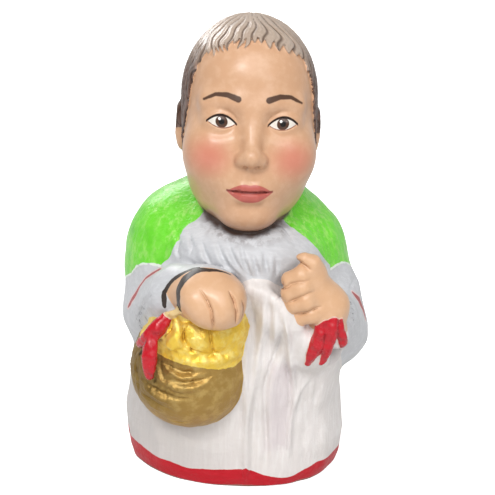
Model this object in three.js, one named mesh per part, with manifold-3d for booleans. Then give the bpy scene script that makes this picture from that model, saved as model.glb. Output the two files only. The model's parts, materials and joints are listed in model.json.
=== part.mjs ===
// A painted terracotta figurine: a stooped, round-backed woman with a sack in one hand, her apron
// gathered up in the other, and small red luck horns hanging from both wrists.
// It was cast in one piece, so the model is one solid. Millimetres, +Z up, she faces -Y.
//
// Every form is a function that says how far a point lies from the clay. Two round blanks, one for
// the body and one for the head, are then cut to those functions along straight strokes that start
// inside the figure, and the two are joined into one.
import * as THREE from "three";
import { mergeVertices } from "three/addons/utils/BufferGeometryUtils.js";
import Module from "manifold-3d";

// Driving dimensions
const HEIGHT = 116; // from the table to the crown
const HEAD_HEIGHT = 51; // from the chin to the crown
const SKIRT_HALF_WIDTH = 29.8; // at its widest, just above the hem
const SKIRT_HALF_DEPTH = 26;
const BACK_TOP = 78; // the top of the round back, behind the head
const SHOULDER_HALF_WIDTH = 29.5;
const BACK_HALF_DEPTH = 27;

// How the head is set on the body
const HEAD_FORWARD = -4; // its middle, along Y
const HEAD_SHIFT = -1.1; // and along X
const HEAD_TURN = { pitch: -5, yaw: 3 }; // degrees: chin up, and a little to her left

// How finely the blanks are divided
const BODY_COLUMNS = 59;
const BODY_ROWS = 29;
const HEAD_COLUMNS = 50;
const HEAD_ROWS = 36;
const FRONT_CROWDING = 0.42; // 0 spaces the columns evenly, and near 1 puts them all in front
const ROW_CROWDING = 0.25; // the same for a ball's rows, towards its fullest part
const FULLEST = 0.56; // how far down a ball that is, from 0 at its top to 1 at its foot

const FAR = 90; // a stroke starts this far out, clear of all the clay
const STROKES = 90;
const CLOSE = 0.004;

const { abs, cos, exp, hypot, max, min, PI, sin } = Math;
const degrees = THREE.MathUtils.degToRad;
const vector = (x, y, z) => new THREE.Vector3(x, y, z);

// Fills the crease between two forms over the width of the fillet
function join(a, b, fillet) {
  const overlap = max(fillet - abs(a - b), 0) / fillet;
  return min(a, b) - (overlap * overlap * fillet) / 4;
}

// Presses form b into form a, with a softened rim
function press(a, b, fillet) {
  return -join(-a, b, fillet);
}

function joinAll(forms, fillet) {
  return (p) => forms.reduce((near, form) => join(near, form(p), fillet), FAR);
}

// An egg of clay: its middle, its three half sizes, and its turns in degrees
function lump(middle, half, turn = [0, 0, 0]) {
  const toLocal = new THREE.Matrix4()
    .makeRotationFromEuler(new THREE.Euler(...turn.map(degrees)))
    .setPosition(...middle)
    .invert();
  const [a, b, c] = half;
  const q = vector();
  return (p) => {
    q.copy(p).applyMatrix4(toLocal);
    const reach = hypot(q.x / a, q.y / b, q.z / c);
    const slope = hypot(q.x / (a * a), q.y / (b * b), q.z / (c * c));
    return slope < 1e-9 ? -min(a, b, c) : (reach * (reach - 1)) / slope;
  };
}

// A round bar that tapers from one end to the other
function bar(start, end, startRadius, endRadius) {
  const from = vector(...start);
  const along = vector(...end).sub(from);
  const length2 = along.lengthSq();
  const q = vector();
  return (p) => {
    q.copy(p).sub(from);
    const share = min(max(q.dot(along) / length2, 0), 1);
    return q.addScaledVector(along, -share).length() - startRadius - (endRadius - startRadius) * share;
  };
}

// A run of bars through a list of [x, y, z, radius]
function rope(points, fillet) {
  const bars = points.slice(1).map((end, i) => {
    const start = points[i];
    return bar(start.slice(0, 3), end.slice(0, 3), start[3], end[3]);
  });
  return joinAll(bars, fillet);
}

const mirrored = (make) => [-1, 1].map(make);

// Skirt and apron

// [height, half width, half depth] of the bell, from the table up
const BELL = [
  [0, SKIRT_HALF_WIDTH - 2.2, SKIRT_HALF_DEPTH - 1.6],
  [3, SKIRT_HALF_WIDTH - 0.6, SKIRT_HALF_DEPTH - 0.4],
  [10, SKIRT_HALF_WIDTH, SKIRT_HALF_DEPTH],
  [26, SKIRT_HALF_WIDTH - 2, SKIRT_HALF_DEPTH - 0.8],
  [42, SKIRT_HALF_WIDTH - 3.5, SKIRT_HALF_DEPTH - 2.5],
  [60, SKIRT_HALF_WIDTH - 8, SKIRT_HALF_DEPTH - 7],
];
const BELL_SHIFT = -1.9; // the skirt hangs a little towards the sack
const BELL_SQUARENESS = 2.25; // 2 is an ellipse

function bellHalfSizes(z) {
  const next = BELL.findIndex(([height]) => height > z);
  if (next === -1) return BELL[BELL.length - 1].slice(1);
  if (next === 0) return BELL[0].slice(1);
  const [low, high] = [BELL[next - 1], BELL[next]];
  const t = THREE.MathUtils.smootherstep(z, low[0], high[0]);
  return [1, 2].map((i) => THREE.MathUtils.lerp(low[i], high[i], t * 0.5 + ((z - low[0]) / (high[0] - low[0])) * 0.5));
}

const PLEATS = 11;
const PLEAT_DEPTH = 0.4;
const PLEAT_TOP = 30;

// Shallow pleats all round, deepest at the hem
function pleats(x, y, z) {
  const around = Math.atan2(y, x);
  const fade = max(1 - z / PLEAT_TOP, 0);
  return PLEAT_DEPTH * fade * sin(PLEATS * around + 1.3 * sin(3 * around));
}

// Long folds of the apron, fanned out from the gathering hand: [x at the top, x at the hem, rise]
const APRON_FOLDS = [
  [1.2, 0.8, 1.3],
  [5.5, 4.5, 0.7],
  [8.5, 9.5, 0.8],
  [11.5, 15.5, 0.7],
  [15.5, 21, 0.6],
];
const FOLD_TOP = 50;
const FOLD_FOOT = 3;
const FOLD_HALF_WIDTH = 1.5;

function apronFolds(x, y, z) {
  if (y > -6) return 0;
  const up = min(max((z - FOLD_FOOT) / (FOLD_TOP - FOLD_FOOT), 0), 1);
  const ends = THREE.MathUtils.smoothstep(z, 1, 6) * (1 - THREE.MathUtils.smoothstep(z, FOLD_TOP - 4, FOLD_TOP + 3));
  return APRON_FOLDS.reduce((rise, [top, foot, height]) => {
    const across = (x - THREE.MathUtils.lerp(foot, top, up)) / FOLD_HALF_WIDTH;
    return rise + height * ends * exp(-across * across);
  }, 0);
}

function bell(p) {
  const [halfWidth, halfDepth] = bellHalfSizes(p.z);
  const n = BELL_SQUARENESS;
  const x = p.x - BELL_SHIFT;
  const reach = (abs(x / halfWidth) ** n + abs(p.y / halfDepth) ** n) ** (1 / n);
  return max((reach - 1) * min(halfWidth, halfDepth), p.z - BELL[BELL.length - 1][0]);
}

const belly = lump([1, -6, 34], [23, 20.6, 27]);
// The apron's corner, drawn up to the left hand
const drawnCorner = rope([[3, -24.5, 52, 3.2], [9, -25.5, 46, 3.6], [15, -24.5, 38, 3.6]], 3);

function skirt(p) {
  const cloth = join(join(bell(p), belly(p), 5), drawnCorner(p), 5);
  return cloth - pleats(p.x, p.y, p.z) - apronFolds(p.x, p.y, p.z);
}

// Round back, shoulders and chest

const BACK_MIDDLE = 44;
const BACK_SHIFT = -2.3; // the back leans a little towards the sack's weight
const roundBack = lump([BACK_SHIFT, 4, BACK_MIDDLE], [SHOULDER_HALF_WIDTH, BACK_HALF_DEPTH, BACK_TOP - BACK_MIDDLE]);
const shoulders = mirrored((side) => lump([side * 17 + BACK_SHIFT, 1, 56], [12, 14, 13]));
const neck = bar([0, 1, 58], [0, 1, 84], 13, 11);
const chest = lump([0, -10.2, 58.5], [19.5, 15.8, 9.6]);

const GATHERS = 13; // small folds along the shirt's front, over the apron
const GATHER_DEPTH = 0.5;

function gathers(p) {
  if (p.y > -12) return 0;
  const band = exp(-(((p.z - 57.5) / 3.2) ** 2));
  return GATHER_DEPTH * band * sin((p.x / 19) * GATHERS * 1.6 + p.z * 0.35);
}

const jacket = joinAll([roundBack, ...shoulders, neck], 5);

function upperBody(p) {
  return join(jacket(p), chest(p) - gathers(p), 2.5);
}

// Arms and hands. Her right arm, on -X, carries the sack.

const rightSleeve = rope([[-22.5, 1, 54, 9], [-22.8, -5, 39.5, 8.7], [-16.5, -24, 50.5, 7]], 4);
const leftSleeve = rope([[20.5, 0, 50, 8.4], [23.4, -4.5, 34.5, 8.5], [21.5, -16, 43, 7.2]], 4);

const rightPalm = lump([-9.4, -31, 52.6], [8, 8.4, 6.8], [-12, 0, 10]);
const rightWrist = bar([-16, -25, 51.5], [-10, -31, 53.5], 6, 6.6);
// Knuckle, middle joint and tucked tip of each finger
const rightFingers = [
  rope([[-13.6, -33.8, 53.8, 3.9], [-11.6, -37.8, 49.8, 3.8], [-10.4, -35, 46.8, 3.2]], 1),
  rope([[-7.6, -35.2, 55, 3.5], [-5.4, -39, 50.2, 3.3], [-5, -36, 46.8, 3]], 1),
  rope([[-3.2, -33.6, 54.8, 2.9], [-1.4, -36.2, 50.2, 2.7], [-1.4, -33.6, 47, 2.5]], 1),
  rope([[-1, -30.5, 54, 2.5], [0, -31.8, 50, 2.3], [-0.2, -30.5, 47.8, 2.1]], 1),
];
const rightHand = (p) => join(joinAll([rightPalm, rightWrist], 3)(p), joinAll(rightFingers, 0.7)(p), 1.6);

const leftPalm = lump([17.8, -24.8, 54], [5.6, 5.2, 8.2], [0, -24, 0]);
const leftWrist = bar([20, -24, 52.5], [23.5, -20.5, 45], 5.6, 5);
const leftThumb = rope([[19.5, -26, 57], [16.6, -28.2, 61], [12.8, -28.6, 62.6]].map((at, i) => [...at, [3.1, 2.7, 2.2][i]]), 1);
const leftFingers = [
  rope([[17.8, -27.2, 58, 2.8], [13, -29.9, 57.2, 2.9], [9.6, -27.8, 56, 2.5]], 1),
  rope([[18.6, -27.8, 54.6, 2.7], [13, -30.8, 53.6, 2.8], [9.8, -28.4, 52.4, 2.5]], 1),
  rope([[19.4, -27.4, 51.4, 2.6], [14.4, -30.4, 50.2, 2.7], [11.4, -28.4, 49, 2.4]], 1),
  rope([[20.4, -26.6, 48.4, 2.5], [16, -29.2, 47.1, 2.5], [13.6, -27.6, 46, 2.2]], 1),
];
const leftHand = (p) => join(joinAll([leftPalm, leftWrist], 3)(p), joinAll([leftThumb, ...leftFingers], 0.7)(p), 1.4);

// Sack

const sackBag = lump([-12.9, -20.5, 31], [14.8, 15, 15.2]);
const sackNeck = lump([-11, -24, 43], [12.4, 11.6, 6.8], [0, -6, 0]);
const SACK_CREASE_DEPTH = 0.55;

// Creases that run round the bag, most on its upper left, where the cloth hangs from the hand
function sackCreases(p) {
  const high = THREE.MathUtils.smoothstep(p.z, 24, 38);
  return SACK_CREASE_DEPTH * high * sin(p.z * 1.5 + p.x * 0.45 + 1.1 * sin(p.x * 0.33));
}

function sack(p) {
  return join(sackBag(p), sackNeck(p), 1.6) - sackCreases(p);
}

// Red horns. Each is [x, y, z, radius] from the thick end to the tip.

const horns = [
  [[-16.8, -32.5, 48.8, 1.7], [-21, -32.4, 43.6, 2.3], [-25, -28, 38.8, 1.3]],
  [[-21.4, -33.6, 42.4, 1.5], [-22, -34.8, 38, 2.1], [-20.9, -35.2, 33.2, 0.7]],
  [[20.2, -28.6, 46, 2.3], [17.2, -29.4, 41, 2], [15.7, -28.4, 36.5, 0.7]],
  [[22.4, -27.6, 46.4, 2.2], [21.2, -28.2, 41, 1.9], [19.1, -27.6, 36.6, 0.7]],
  [[22.8, -26.6, 47.4, 2], [24.8, -25.2, 42, 1.8], [25.6, -23.6, 37.4, 1.1]],
].map((points) => ({ form: rope(points, 1.2), heart: points[1].slice(0, 3) }));

// Head. Its own frame has the middle of the head at the origin, and the face on -Y.

const EYE_APART = HEAD_HEIGHT * 0.138; // from the middle line to each eye
const EYE_LINE = 0; // halfway up the head
const BROW_LINE = HEAD_HEIGHT * 0.085;
const NOSE_BASE = -HEAD_HEIGHT * 0.19;
const MOUTH_LINE = -HEAD_HEIGHT * 0.305;
const HAIRLINE = HEAD_HEIGHT * 0.33;

const skull = joinAll(
  [
    lump([0, 2.5, 6.2], [16.3, 20, 19]),
    lump([0, -5.6, -4.4], [15.4, 14.6, 20.9]),
    lump([0, -8, 9.6], [13, 11.6, 11.5]),
    lump([0, -4.5, -13.5], [13.8, 13.2, 11.6]),
    ...mirrored((side) => lump([side * 8.6, -12, -7.4], [6.9, 7.4, 7.4])),
  ],
  4,
);
const chin = lump([0, -14.6, -21.4], [6.2, 4.6, 4]);
const muzzle = lump([0, -15, -13.6], [7.4, 6, 6]);
const browRidges = mirrored((side) => bar([side * 3.2, -17.8, BROW_LINE - 0.4], [side * 10.2, -15.4, BROW_LINE - 0.2], 1.8, 1.4));
const sockets = mirrored((side) => lump([side * EYE_APART, -23, EYE_LINE + 0.1], [4.7, 4.9, 3]));
const eyeballs = mirrored((side) => lump([side * EYE_APART, -14.6, EYE_LINE], [4.5, 4.5, 4.3]));
const noseBridge = bar([0, -18.2, BROW_LINE - 2], [0, -22.6, NOSE_BASE + 2.4], 1.5, 2.1);
const noseTip = lump([0, -22.8, NOSE_BASE + 1.9], [2.6, 2.6, 2.3]);
const noseWings = mirrored((side) => lump([side * 2.8, -20.9, NOSE_BASE + 1.2], [1.8, 2.5, 1.8]));
const upperLip = rope(
  [
    [-5.2, -18.4, MOUTH_LINE + 0.3, 0.5],
    [-1.6, -20.6, MOUTH_LINE + 1.1, 1.15],
    [0, -20.8, MOUTH_LINE + 0.9, 1.05],
    [1.6, -20.6, MOUTH_LINE + 1.1, 1.15],
    [5.2, -18.4, MOUTH_LINE + 0.3, 0.5],
  ],
  0.6,
);
const lowerLip = rope(
  [
    [-4.6, -18.4, MOUTH_LINE - 0.4, 0.5],
    [-1.4, -20, MOUTH_LINE - 1.4, 1.3],
    [1.4, -20, MOUTH_LINE - 1.4, 1.3],
    [4.6, -18.4, MOUTH_LINE - 0.4, 0.5],
  ],
  0.6,
);
const mouthLine = rope([[-5, -19, MOUTH_LINE, 0.35], [0, -21.9, MOUTH_LINE - 0.1, 0.4], [5, -19, MOUTH_LINE, 0.35]], 0.3);
const ears = mirrored((side) =>
  joinAll([lump([side * 16.4, 2.5, -1], [2.1, 3.6, 5.4], [12, 0, side * 12]), lump([side * 15.9, 1, -6], [1.8, 2.2, 2.4])], 1.5),
);

// Hair, combed down from the crown all round and cut in points

const LOCKS = 30;
const LOCK_DEPTH = 0.42;
const HAIR_THICKNESS = 0.9;
const EAR_FRONT = 36; // degrees from the face's middle line, round to the hair before the ear

// How low the hair reaches, from the middle of the face round to the nape
function hairEdge(around) {
  const side = THREE.MathUtils.smoothstep(around, EAR_FRONT, EAR_FRONT + 34);
  const nape = THREE.MathUtils.smoothstep(around, 112, 150);
  const front = HAIRLINE - 5.5 * (around / 52) ** 2;
  return THREE.MathUtils.lerp(THREE.MathUtils.lerp(front, -10, side), -22, nape);
}

function hairShell(p) {
  const around = THREE.MathUtils.radToDeg(abs(Math.atan2(p.x, -(p.y - 2))));
  const swirl = Math.atan2(p.x, -(p.y - 4)) * LOCKS + 1.4 * sin(p.z * 0.5);
  const points = 1.1 * sin(swirl);
  const above = THREE.MathUtils.smoothstep(p.z, hairEdge(around) + points - 0.7, hairEdge(around) + points + 0.9);
  return above * (HAIR_THICKNESS + LOCK_DEPTH * sin(swirl));
}

function faceAndHair(p) {
  let clay = join(join(skull(p), chin(p), 5), muzzle(p), 4);
  for (const ridge of browRidges) clay = join(clay, ridge(p), 4);
  for (const socket of sockets) clay = press(clay, socket(p), 2.4);
  for (const ball of eyeballs) clay = join(clay, ball(p), 0.8);
  clay = join(clay, noseBridge(p), 2.6);
  clay = join(clay, noseTip(p), 1.4);
  for (const wing of noseWings) clay = join(clay, wing(p), 1.2);
  for (const lip of [upperLip, lowerLip]) clay = join(clay, lip(p), 1.2);
  clay = press(clay, mouthLine(p), 0.6);
  clay -= hairShell(p);
  for (const ear of ears) clay = join(clay, ear(p), 1);
  return clay;
}

const headPlace = new THREE.Matrix4()
  .makeRotationFromEuler(new THREE.Euler(degrees(HEAD_TURN.pitch), 0, degrees(HEAD_TURN.yaw)))
  .setPosition(HEAD_SHIFT, HEAD_FORWARD, HEIGHT - HEAD_HEIGHT / 2);

// Moves a point in from far out along its stroke until it meets the clay
function meet(form, heart, direction) {
  const p = vector();
  let reach = FAR;
  for (let i = 0; i < STROKES; i++) {
    p.copy(heart).addScaledVector(direction, reach);
    const gap = form(p);
    if (abs(gap) < CLOSE) break;
    reach -= gap * 0.75;
  }
  return p;
}

// Brings the columns of a blank closer together on the face's side, where the carving is
function crowdFront(x, y) {
  const around = Math.atan2(x, -y);
  return around - FRONT_CROWDING * sin(around);
}

// Brings a ball's rows closer together round its fullest part
function crowdRows(t) {
  const wave = (share) => sin(2 * PI * (share - FULLEST)) / (2 * PI);
  return t - ROW_CROWDING * (wave(t) - wave(0));
}

// A closed blank with shared corners, ready to cut
function blankOf(geometry) {
  geometry.deleteAttribute("normal");
  geometry.deleteAttribute("uv");
  return mergeVertices(geometry, 1e-4);
}

// A ball cut to a form by strokes towards its heart, with its poles up and down
function carvedBall(form, heart, columns, rows) {
  const ball = blankOf(new THREE.SphereGeometry(1, columns, rows)).rotateX(PI / 2);
  const corners = ball.attributes.position;
  const middle = vector(...heart);
  for (let i = 0; i < corners.count; i++) {
    const around = crowdFront(corners.getX(i), corners.getY(i));
    const down = crowdRows(Math.acos(min(max(corners.getZ(i), -1), 1)) / PI) * PI;
    const direction = vector(sin(around) * sin(down), -cos(around) * sin(down), cos(down));
    corners.setXYZ(i, ...meet(form, middle, direction).toArray());
  }
  return ball;
}

// The body's blank is a dome on a flat foot. Its strokes start low and level at the hem, and climb
// and steepen towards the neck.
const BODY_HEART_TOP = 46;

function body(p) {
  const clay = join(skirt(p), upperBody(p), 3);
  return join(join(clay, rightSleeve(p), 2.6), leftSleeve(p), 2.6);
}

function carvedBody() {
  const rise = Array.from({ length: BODY_ROWS }, (_, i) => i / (BODY_ROWS - 1));
  const dome = [vector(0, 0, 0), ...rise.map((t) => vector(cos((t * PI) / 2), t, 0))];
  dome[dome.length - 1].x = 0;
  const blank = blankOf(new THREE.LatheGeometry(dome.map((v) => new THREE.Vector2(v.x, v.y)), BODY_COLUMNS));
  blank.rotateX(PI / 2);
  const corners = blank.attributes.position;
  for (let i = 0; i < corners.count; i++) {
    const [x, y] = [corners.getX(i), corners.getY(i)];
    const t = max(corners.getZ(i), 0);
    if (hypot(x, y) < 1e-6 && t < 0.5) continue;
    const around = crowdFront(x, y);
    const climb = (PI / 2) * t ** 1.5;
    const heart = vector(0, 0, BODY_HEART_TOP * t);
    const direction = vector(sin(around) * cos(climb), -cos(around) * cos(climb), sin(climb));
    const p = meet(body, heart, direction);
    corners.setXYZ(i, p.x, p.y, t < 1e-6 ? 0 : max(p.z, 0));
  }
  return blank;
}

const wasm = await Module();
wasm.setup();

function solidOf(geometry) {
  return new wasm.Manifold(
    new wasm.Mesh({
      numProp: 3,
      vertProperties: geometry.attributes.position.array,
      triVerts: new Uint32Array(geometry.index.array),
    }),
  );
}

function geometryOf(solid) {
  const mesh = solid.getMesh();
  return new THREE.BufferGeometry()
    .setAttribute("position", new THREE.BufferAttribute(mesh.vertProperties, 3))
    .setIndex(new THREE.BufferAttribute(mesh.triVerts, 1));
}

const pieces = [
  carvedBody(),
  carvedBall(faceAndHair, [0, -7, -4], HEAD_COLUMNS, HEAD_ROWS).applyMatrix4(headPlace),
  carvedBall(sack, [-12, -21, 35], 30, 20),
  carvedBall(rightHand, [-8, -32, 51.5], 28, 18),
  carvedBall(leftHand, [16.4, -25.4, 53.6], 28, 20),
  ...horns.map(({ form, heart }) => carvedBall(form, heart, 8, 7)),
];
const cast = geometryOf(pieces.map(solidOf).reduce((whole, piece) => whole.add(piece)));

// The part's origin is on the table, under the middle of the whole figure
cast.computeBoundingBox();
const middle = cast.boundingBox.getCenter(vector());
cast.translate(-middle.x, -middle.y, -cast.boundingBox.min.z);
cast.computeVertexNormals();

const paintedTerracotta = new THREE.MeshStandardMaterial({ color: "#cfc9c4", roughness: 0.45, metalness: 0 });
const figurine = new THREE.Mesh(cast, paintedTerracotta);
figurine.name = "figurine";

const part = new THREE.Group();
part.add(figurine);
export default part;
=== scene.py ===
# %% [markdown]
# # A painted terracotta figurine
#
# The real object is a hand-sized souvenir: clay pressed into a mould, fired, and painted by hand.
# A figure with a round back holds a gold sack in one fist and the corner of an apron in the other,
# and small red luck horns hang at both wrists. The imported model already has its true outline. This
# lesson gives it the finer carving, the paint and the light.

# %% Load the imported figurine
import math
from functools import reduce

import bpy
import numpy as np
from mathutils import Matrix, Vector
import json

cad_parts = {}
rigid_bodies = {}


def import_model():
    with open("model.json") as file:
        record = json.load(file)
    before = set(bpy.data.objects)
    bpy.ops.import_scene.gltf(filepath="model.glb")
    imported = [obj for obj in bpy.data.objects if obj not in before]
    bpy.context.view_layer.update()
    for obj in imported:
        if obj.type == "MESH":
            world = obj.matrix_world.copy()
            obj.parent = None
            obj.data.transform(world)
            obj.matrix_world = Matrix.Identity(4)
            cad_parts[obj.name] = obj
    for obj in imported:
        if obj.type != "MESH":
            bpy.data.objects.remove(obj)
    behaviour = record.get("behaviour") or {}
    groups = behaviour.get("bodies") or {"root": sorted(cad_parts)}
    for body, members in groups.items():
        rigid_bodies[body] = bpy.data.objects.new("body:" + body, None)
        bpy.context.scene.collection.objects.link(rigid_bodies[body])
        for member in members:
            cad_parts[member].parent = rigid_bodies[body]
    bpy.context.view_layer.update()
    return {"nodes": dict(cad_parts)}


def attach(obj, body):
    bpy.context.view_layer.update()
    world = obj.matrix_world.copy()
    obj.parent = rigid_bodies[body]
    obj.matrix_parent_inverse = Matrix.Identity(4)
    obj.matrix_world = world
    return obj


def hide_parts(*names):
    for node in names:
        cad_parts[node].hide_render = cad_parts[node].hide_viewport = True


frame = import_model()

# %% [markdown]
# ## Camera
#
# The photograph was taken from close by, a little above the figurine. That is why the head looks so
# large and the hem so round. A near camera with the same lift and a slight roll gives the same view.
# It comes first, so that every later step can be checked through it.

# %% Set up the camera
MM = 0.001
PHOTO_SIDE = 495  # pixels
FOCAL = 892  # the photo's focal length, in its own pixels
CAMERA_PLACE = (-0.15, -220.2, 121)
CAMERA_DOWN = 16  # degrees below the horizon
CAMERA_ROLL = 2.5

camera_data = bpy.data.cameras.new("photo camera")
camera_data.sensor_width = 36
camera_data.lens = camera_data.sensor_width * FOCAL / PHOTO_SIDE
camera = bpy.data.objects.new("photo camera", camera_data)
bpy.context.scene.collection.objects.link(camera)
aim = Matrix.Rotation(math.radians(90 - CAMERA_DOWN), 4, "X")
roll = Matrix.Rotation(math.radians(CAMERA_ROLL), 4, "Z")
camera.matrix_world = Matrix.Translation(Vector(CAMERA_PLACE) * MM) @ aim @ roll
bpy.context.scene.camera = camera
print("lens:", round(camera_data.lens, 1), "mm")

# %% [markdown]
# ## A fresh skin of clay
#
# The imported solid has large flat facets, which are too few for eyelids and brush-fine folds. A copy
# of it is merged into one closed skin and remeshed in small even squares. Each corner of these
# squares can then be pushed and pulled like soft clay.

# %% Copy the solid and remesh it
VOXEL = 0.42  # millimetres

solid = frame["nodes"]["figurine"]
clay = bpy.data.objects.new("painted_figurine", solid.data.copy())
bpy.context.scene.collection.objects.link(clay)
clay.data.materials.clear()


def only(piece):
    """Selects one piece and nothing else."""
    bpy.ops.object.select_all(action="DESELECT")
    piece.select_set(True)
    bpy.context.view_layer.objects.active = piece


def remesh(piece, voxel):
    skin = piece.modifiers.new("skin", "REMESH")
    skin.mode = "VOXEL"
    skin.voxel_size = voxel * MM
    bpy.ops.object.modifier_apply(modifier=skin.name)


only(clay)
bpy.ops.object.mode_set(mode="EDIT")
bpy.ops.mesh.select_all(action="SELECT")
bpy.ops.mesh.remove_doubles(threshold=1e-6)
bpy.ops.object.mode_set(mode="OBJECT")
remesh(clay, VOXEL)
print("fresh skin:", len(clay.data.polygons), "squares")

# %% [markdown]
# ## Forms as distances
#
# A modeller builds a figure from eggs and rolls of clay, and smooths the joints with a thumb. The
# same can be said in numbers: each form tells how far any point is from its surface, negative when
# the point is inside. The smaller of two distances joins two forms, and rounding off where they are
# equal is the thumb. All sizes here are millimetres, +Z is up and the figure faces -Y.
#
# Many places of folds, finger lines, horns and painted edges were first found by following the
# camera's ray through a point of the photograph to the clay. They were then moved.

# %% Clay tools
SLIDE = np.array([-0.152, 5.781, 0])  # from the maker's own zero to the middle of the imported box


def join(a, b, fillet):
    """Joins two forms, and fills the crease between them over the width of the fillet."""
    overlap = np.maximum(fillet - np.abs(a - b), 0) / fillet
    return np.minimum(a, b) - overlap**2 * fillet / 4


def join_all(forms, fillet):
    return reduce(lambda near, form: join(near, form, fillet), forms)


def press(a, b, fillet):
    """Presses form b into form a, with a softened rim."""
    return -join(-a, b, fillet)


def ease(value, low, high):
    """Goes smoothly from 0 at low to 1 at high."""
    t = np.clip((value - low) / (high - low), 0, 1)
    return t * t * (3 - 2 * t)


def where(close, p, form, elsewhere):
    """Works a form out only for the points that are close to it, which saves most of the time."""
    value = np.full(len(p), float(elsewhere))
    value[close] = form(p[close])
    return value


def turned(turn):
    """The rotation matrix for turns about X, Y and Z, in degrees."""
    x, y, z = (Matrix.Rotation(math.radians(a), 3, axis) for a, axis in zip(turn, "XYZ"))
    return np.array(x @ y @ z)


def egg(p, middle, half, turn=(0, 0, 0)):
    """An egg of clay: its middle, its three half sizes, and its turns in degrees."""
    q = (p - middle) @ turned(turn) / half
    reach = np.linalg.norm(q, axis=1)
    slope = np.linalg.norm(q / half, axis=1)
    return reach * (reach - 1) / np.maximum(slope, 1e-9)


def bar(p, start, end):
    """A round bar between two (x, y, z, radius)."""
    start, end = np.array(start, float), np.array(end, float)
    along = end[:3] - start[:3]
    share = np.clip((p - start[:3]) @ along / (along @ along), 0, 1)
    near = start[:3] + share[:, None] * along
    return np.linalg.norm(p - near, axis=1) - start[3] - (end[3] - start[3]) * share


def rope(p, stops, fillet=1):
    """A run of bars through a list of (x, y, z, radius)."""
    return join_all([bar(p, a, b) for a, b in zip(stops, stops[1:])], fillet)


def smoothed(stops):
    """Adds two points between each pair of stops, so that the rope bends evenly."""
    s = np.array([stops[0], *stops, stops[-1]], float)
    between = []
    for before, a, b, after in zip(s, s[1:], s[2:], s[3:]):
        for t in (0, 1 / 3, 2 / 3):
            bend = (b - before) * t + (2 * before - 5 * a + 4 * b - after) * t**2
            between.append(a + (bend + (3 * a - before - 3 * b + after) * t**3) / 2)
    return [*between, s[-1]]


def leaf(p, stops, flatness, fillet=1.0):
    """A rope that is so many times wider than it is thick from front to back."""
    squeeze = np.array([1, flatness, 1])
    return rope(p * squeeze, [(x, y * flatness, z, radius) for x, y, z, radius in stops], fillet)


def along_line(p, path):
    """Distance, seen from the front, to a line through (x, z) points, and the share of the way along it."""
    line = np.array(path, float)
    steps = np.linalg.norm(np.diff(line, axis=0), axis=1)
    nearest = np.full(len(p), np.inf)
    at = np.zeros(len(p))
    passed = 0.0
    for start, end, step in zip(line, line[1:], steps):
        from_start = p[:, [0, 2]] - start
        share = np.clip(from_start @ (end - start) / step**2, 0, 1)
        away = np.linalg.norm(from_start - share[:, None] * (end - start), axis=1)
        closer = away < nearest
        nearest[closer] = away[closer]
        at[closer] = (passed + share[closer] * step) / steps.sum()
        passed += step
    return nearest, at


def stroke(p, path, half_width, ends=0.3):
    """How strongly a tool line is felt: 1 on the line, less beside it and towards its ends."""
    away, at = along_line(p, path)
    taper = np.clip(np.minimum(at, 1 - at) / ends, 0, 1)
    return np.exp(-((away / (half_width * (0.45 + 0.55 * taper))) ** 2)) * (0.25 + 0.75 * taper)


def grooves(p, lines, half_width, depth):
    return depth * reduce(np.maximum, [stroke(p, line, half_width, ends=0.25) for line in lines])


def unevenness(p, size):
    """The slow ups and downs that fingers leave in clay, from -1 to 1."""
    x, y, z = (p / size).T
    first = np.sin(1.7 * x + 1.3 * np.sin(1.1 * y + 0.5))
    second = np.sin(1.3 * y + 1.7 * np.sin(0.9 * z))
    third = np.sin(1.1 * z + 1.1 * np.sin(1.3 * x + 2))
    return first * second * third


SIDES = (-1, 1)
FAR = 12  # millimetres, the distance given to points that are nowhere near a form
print("clay tools ready")

# %% [markdown]
# ## Skirt and apron
#
# The skirt is a bell that stands on the table. The apron is drawn up by the left hand, so its folds
# fan out from there and fall to the hem: a few strong ones beside the sack, softer ones to the
# right. Each fold is a line down the cloth, a width, and a rise, negative for a groove.

# %% Skirt and apron
SKIRT_HALF_WIDTH = 29.8
SKIRT_HALF_DEPTH = 26
BELL_TOP = 60
BELL_SHIFT = -1.9  # the skirt hangs a little towards the sack
BELL_SQUARENESS = (2.1, 2.5)  # on the figure's right and left; 2 is an ellipse
BELL = np.array(  # height, and how much narrower and shallower the bell is there
    [[0, 1.5, 1.1], [3, 0.6, 0.4], [10, 0, 0], [26, 2, 0.8], [42, 3.5, 2.5], [60, 8, 7]]
)
PLEATS = 11
PLEAT_TOP = 30

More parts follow.
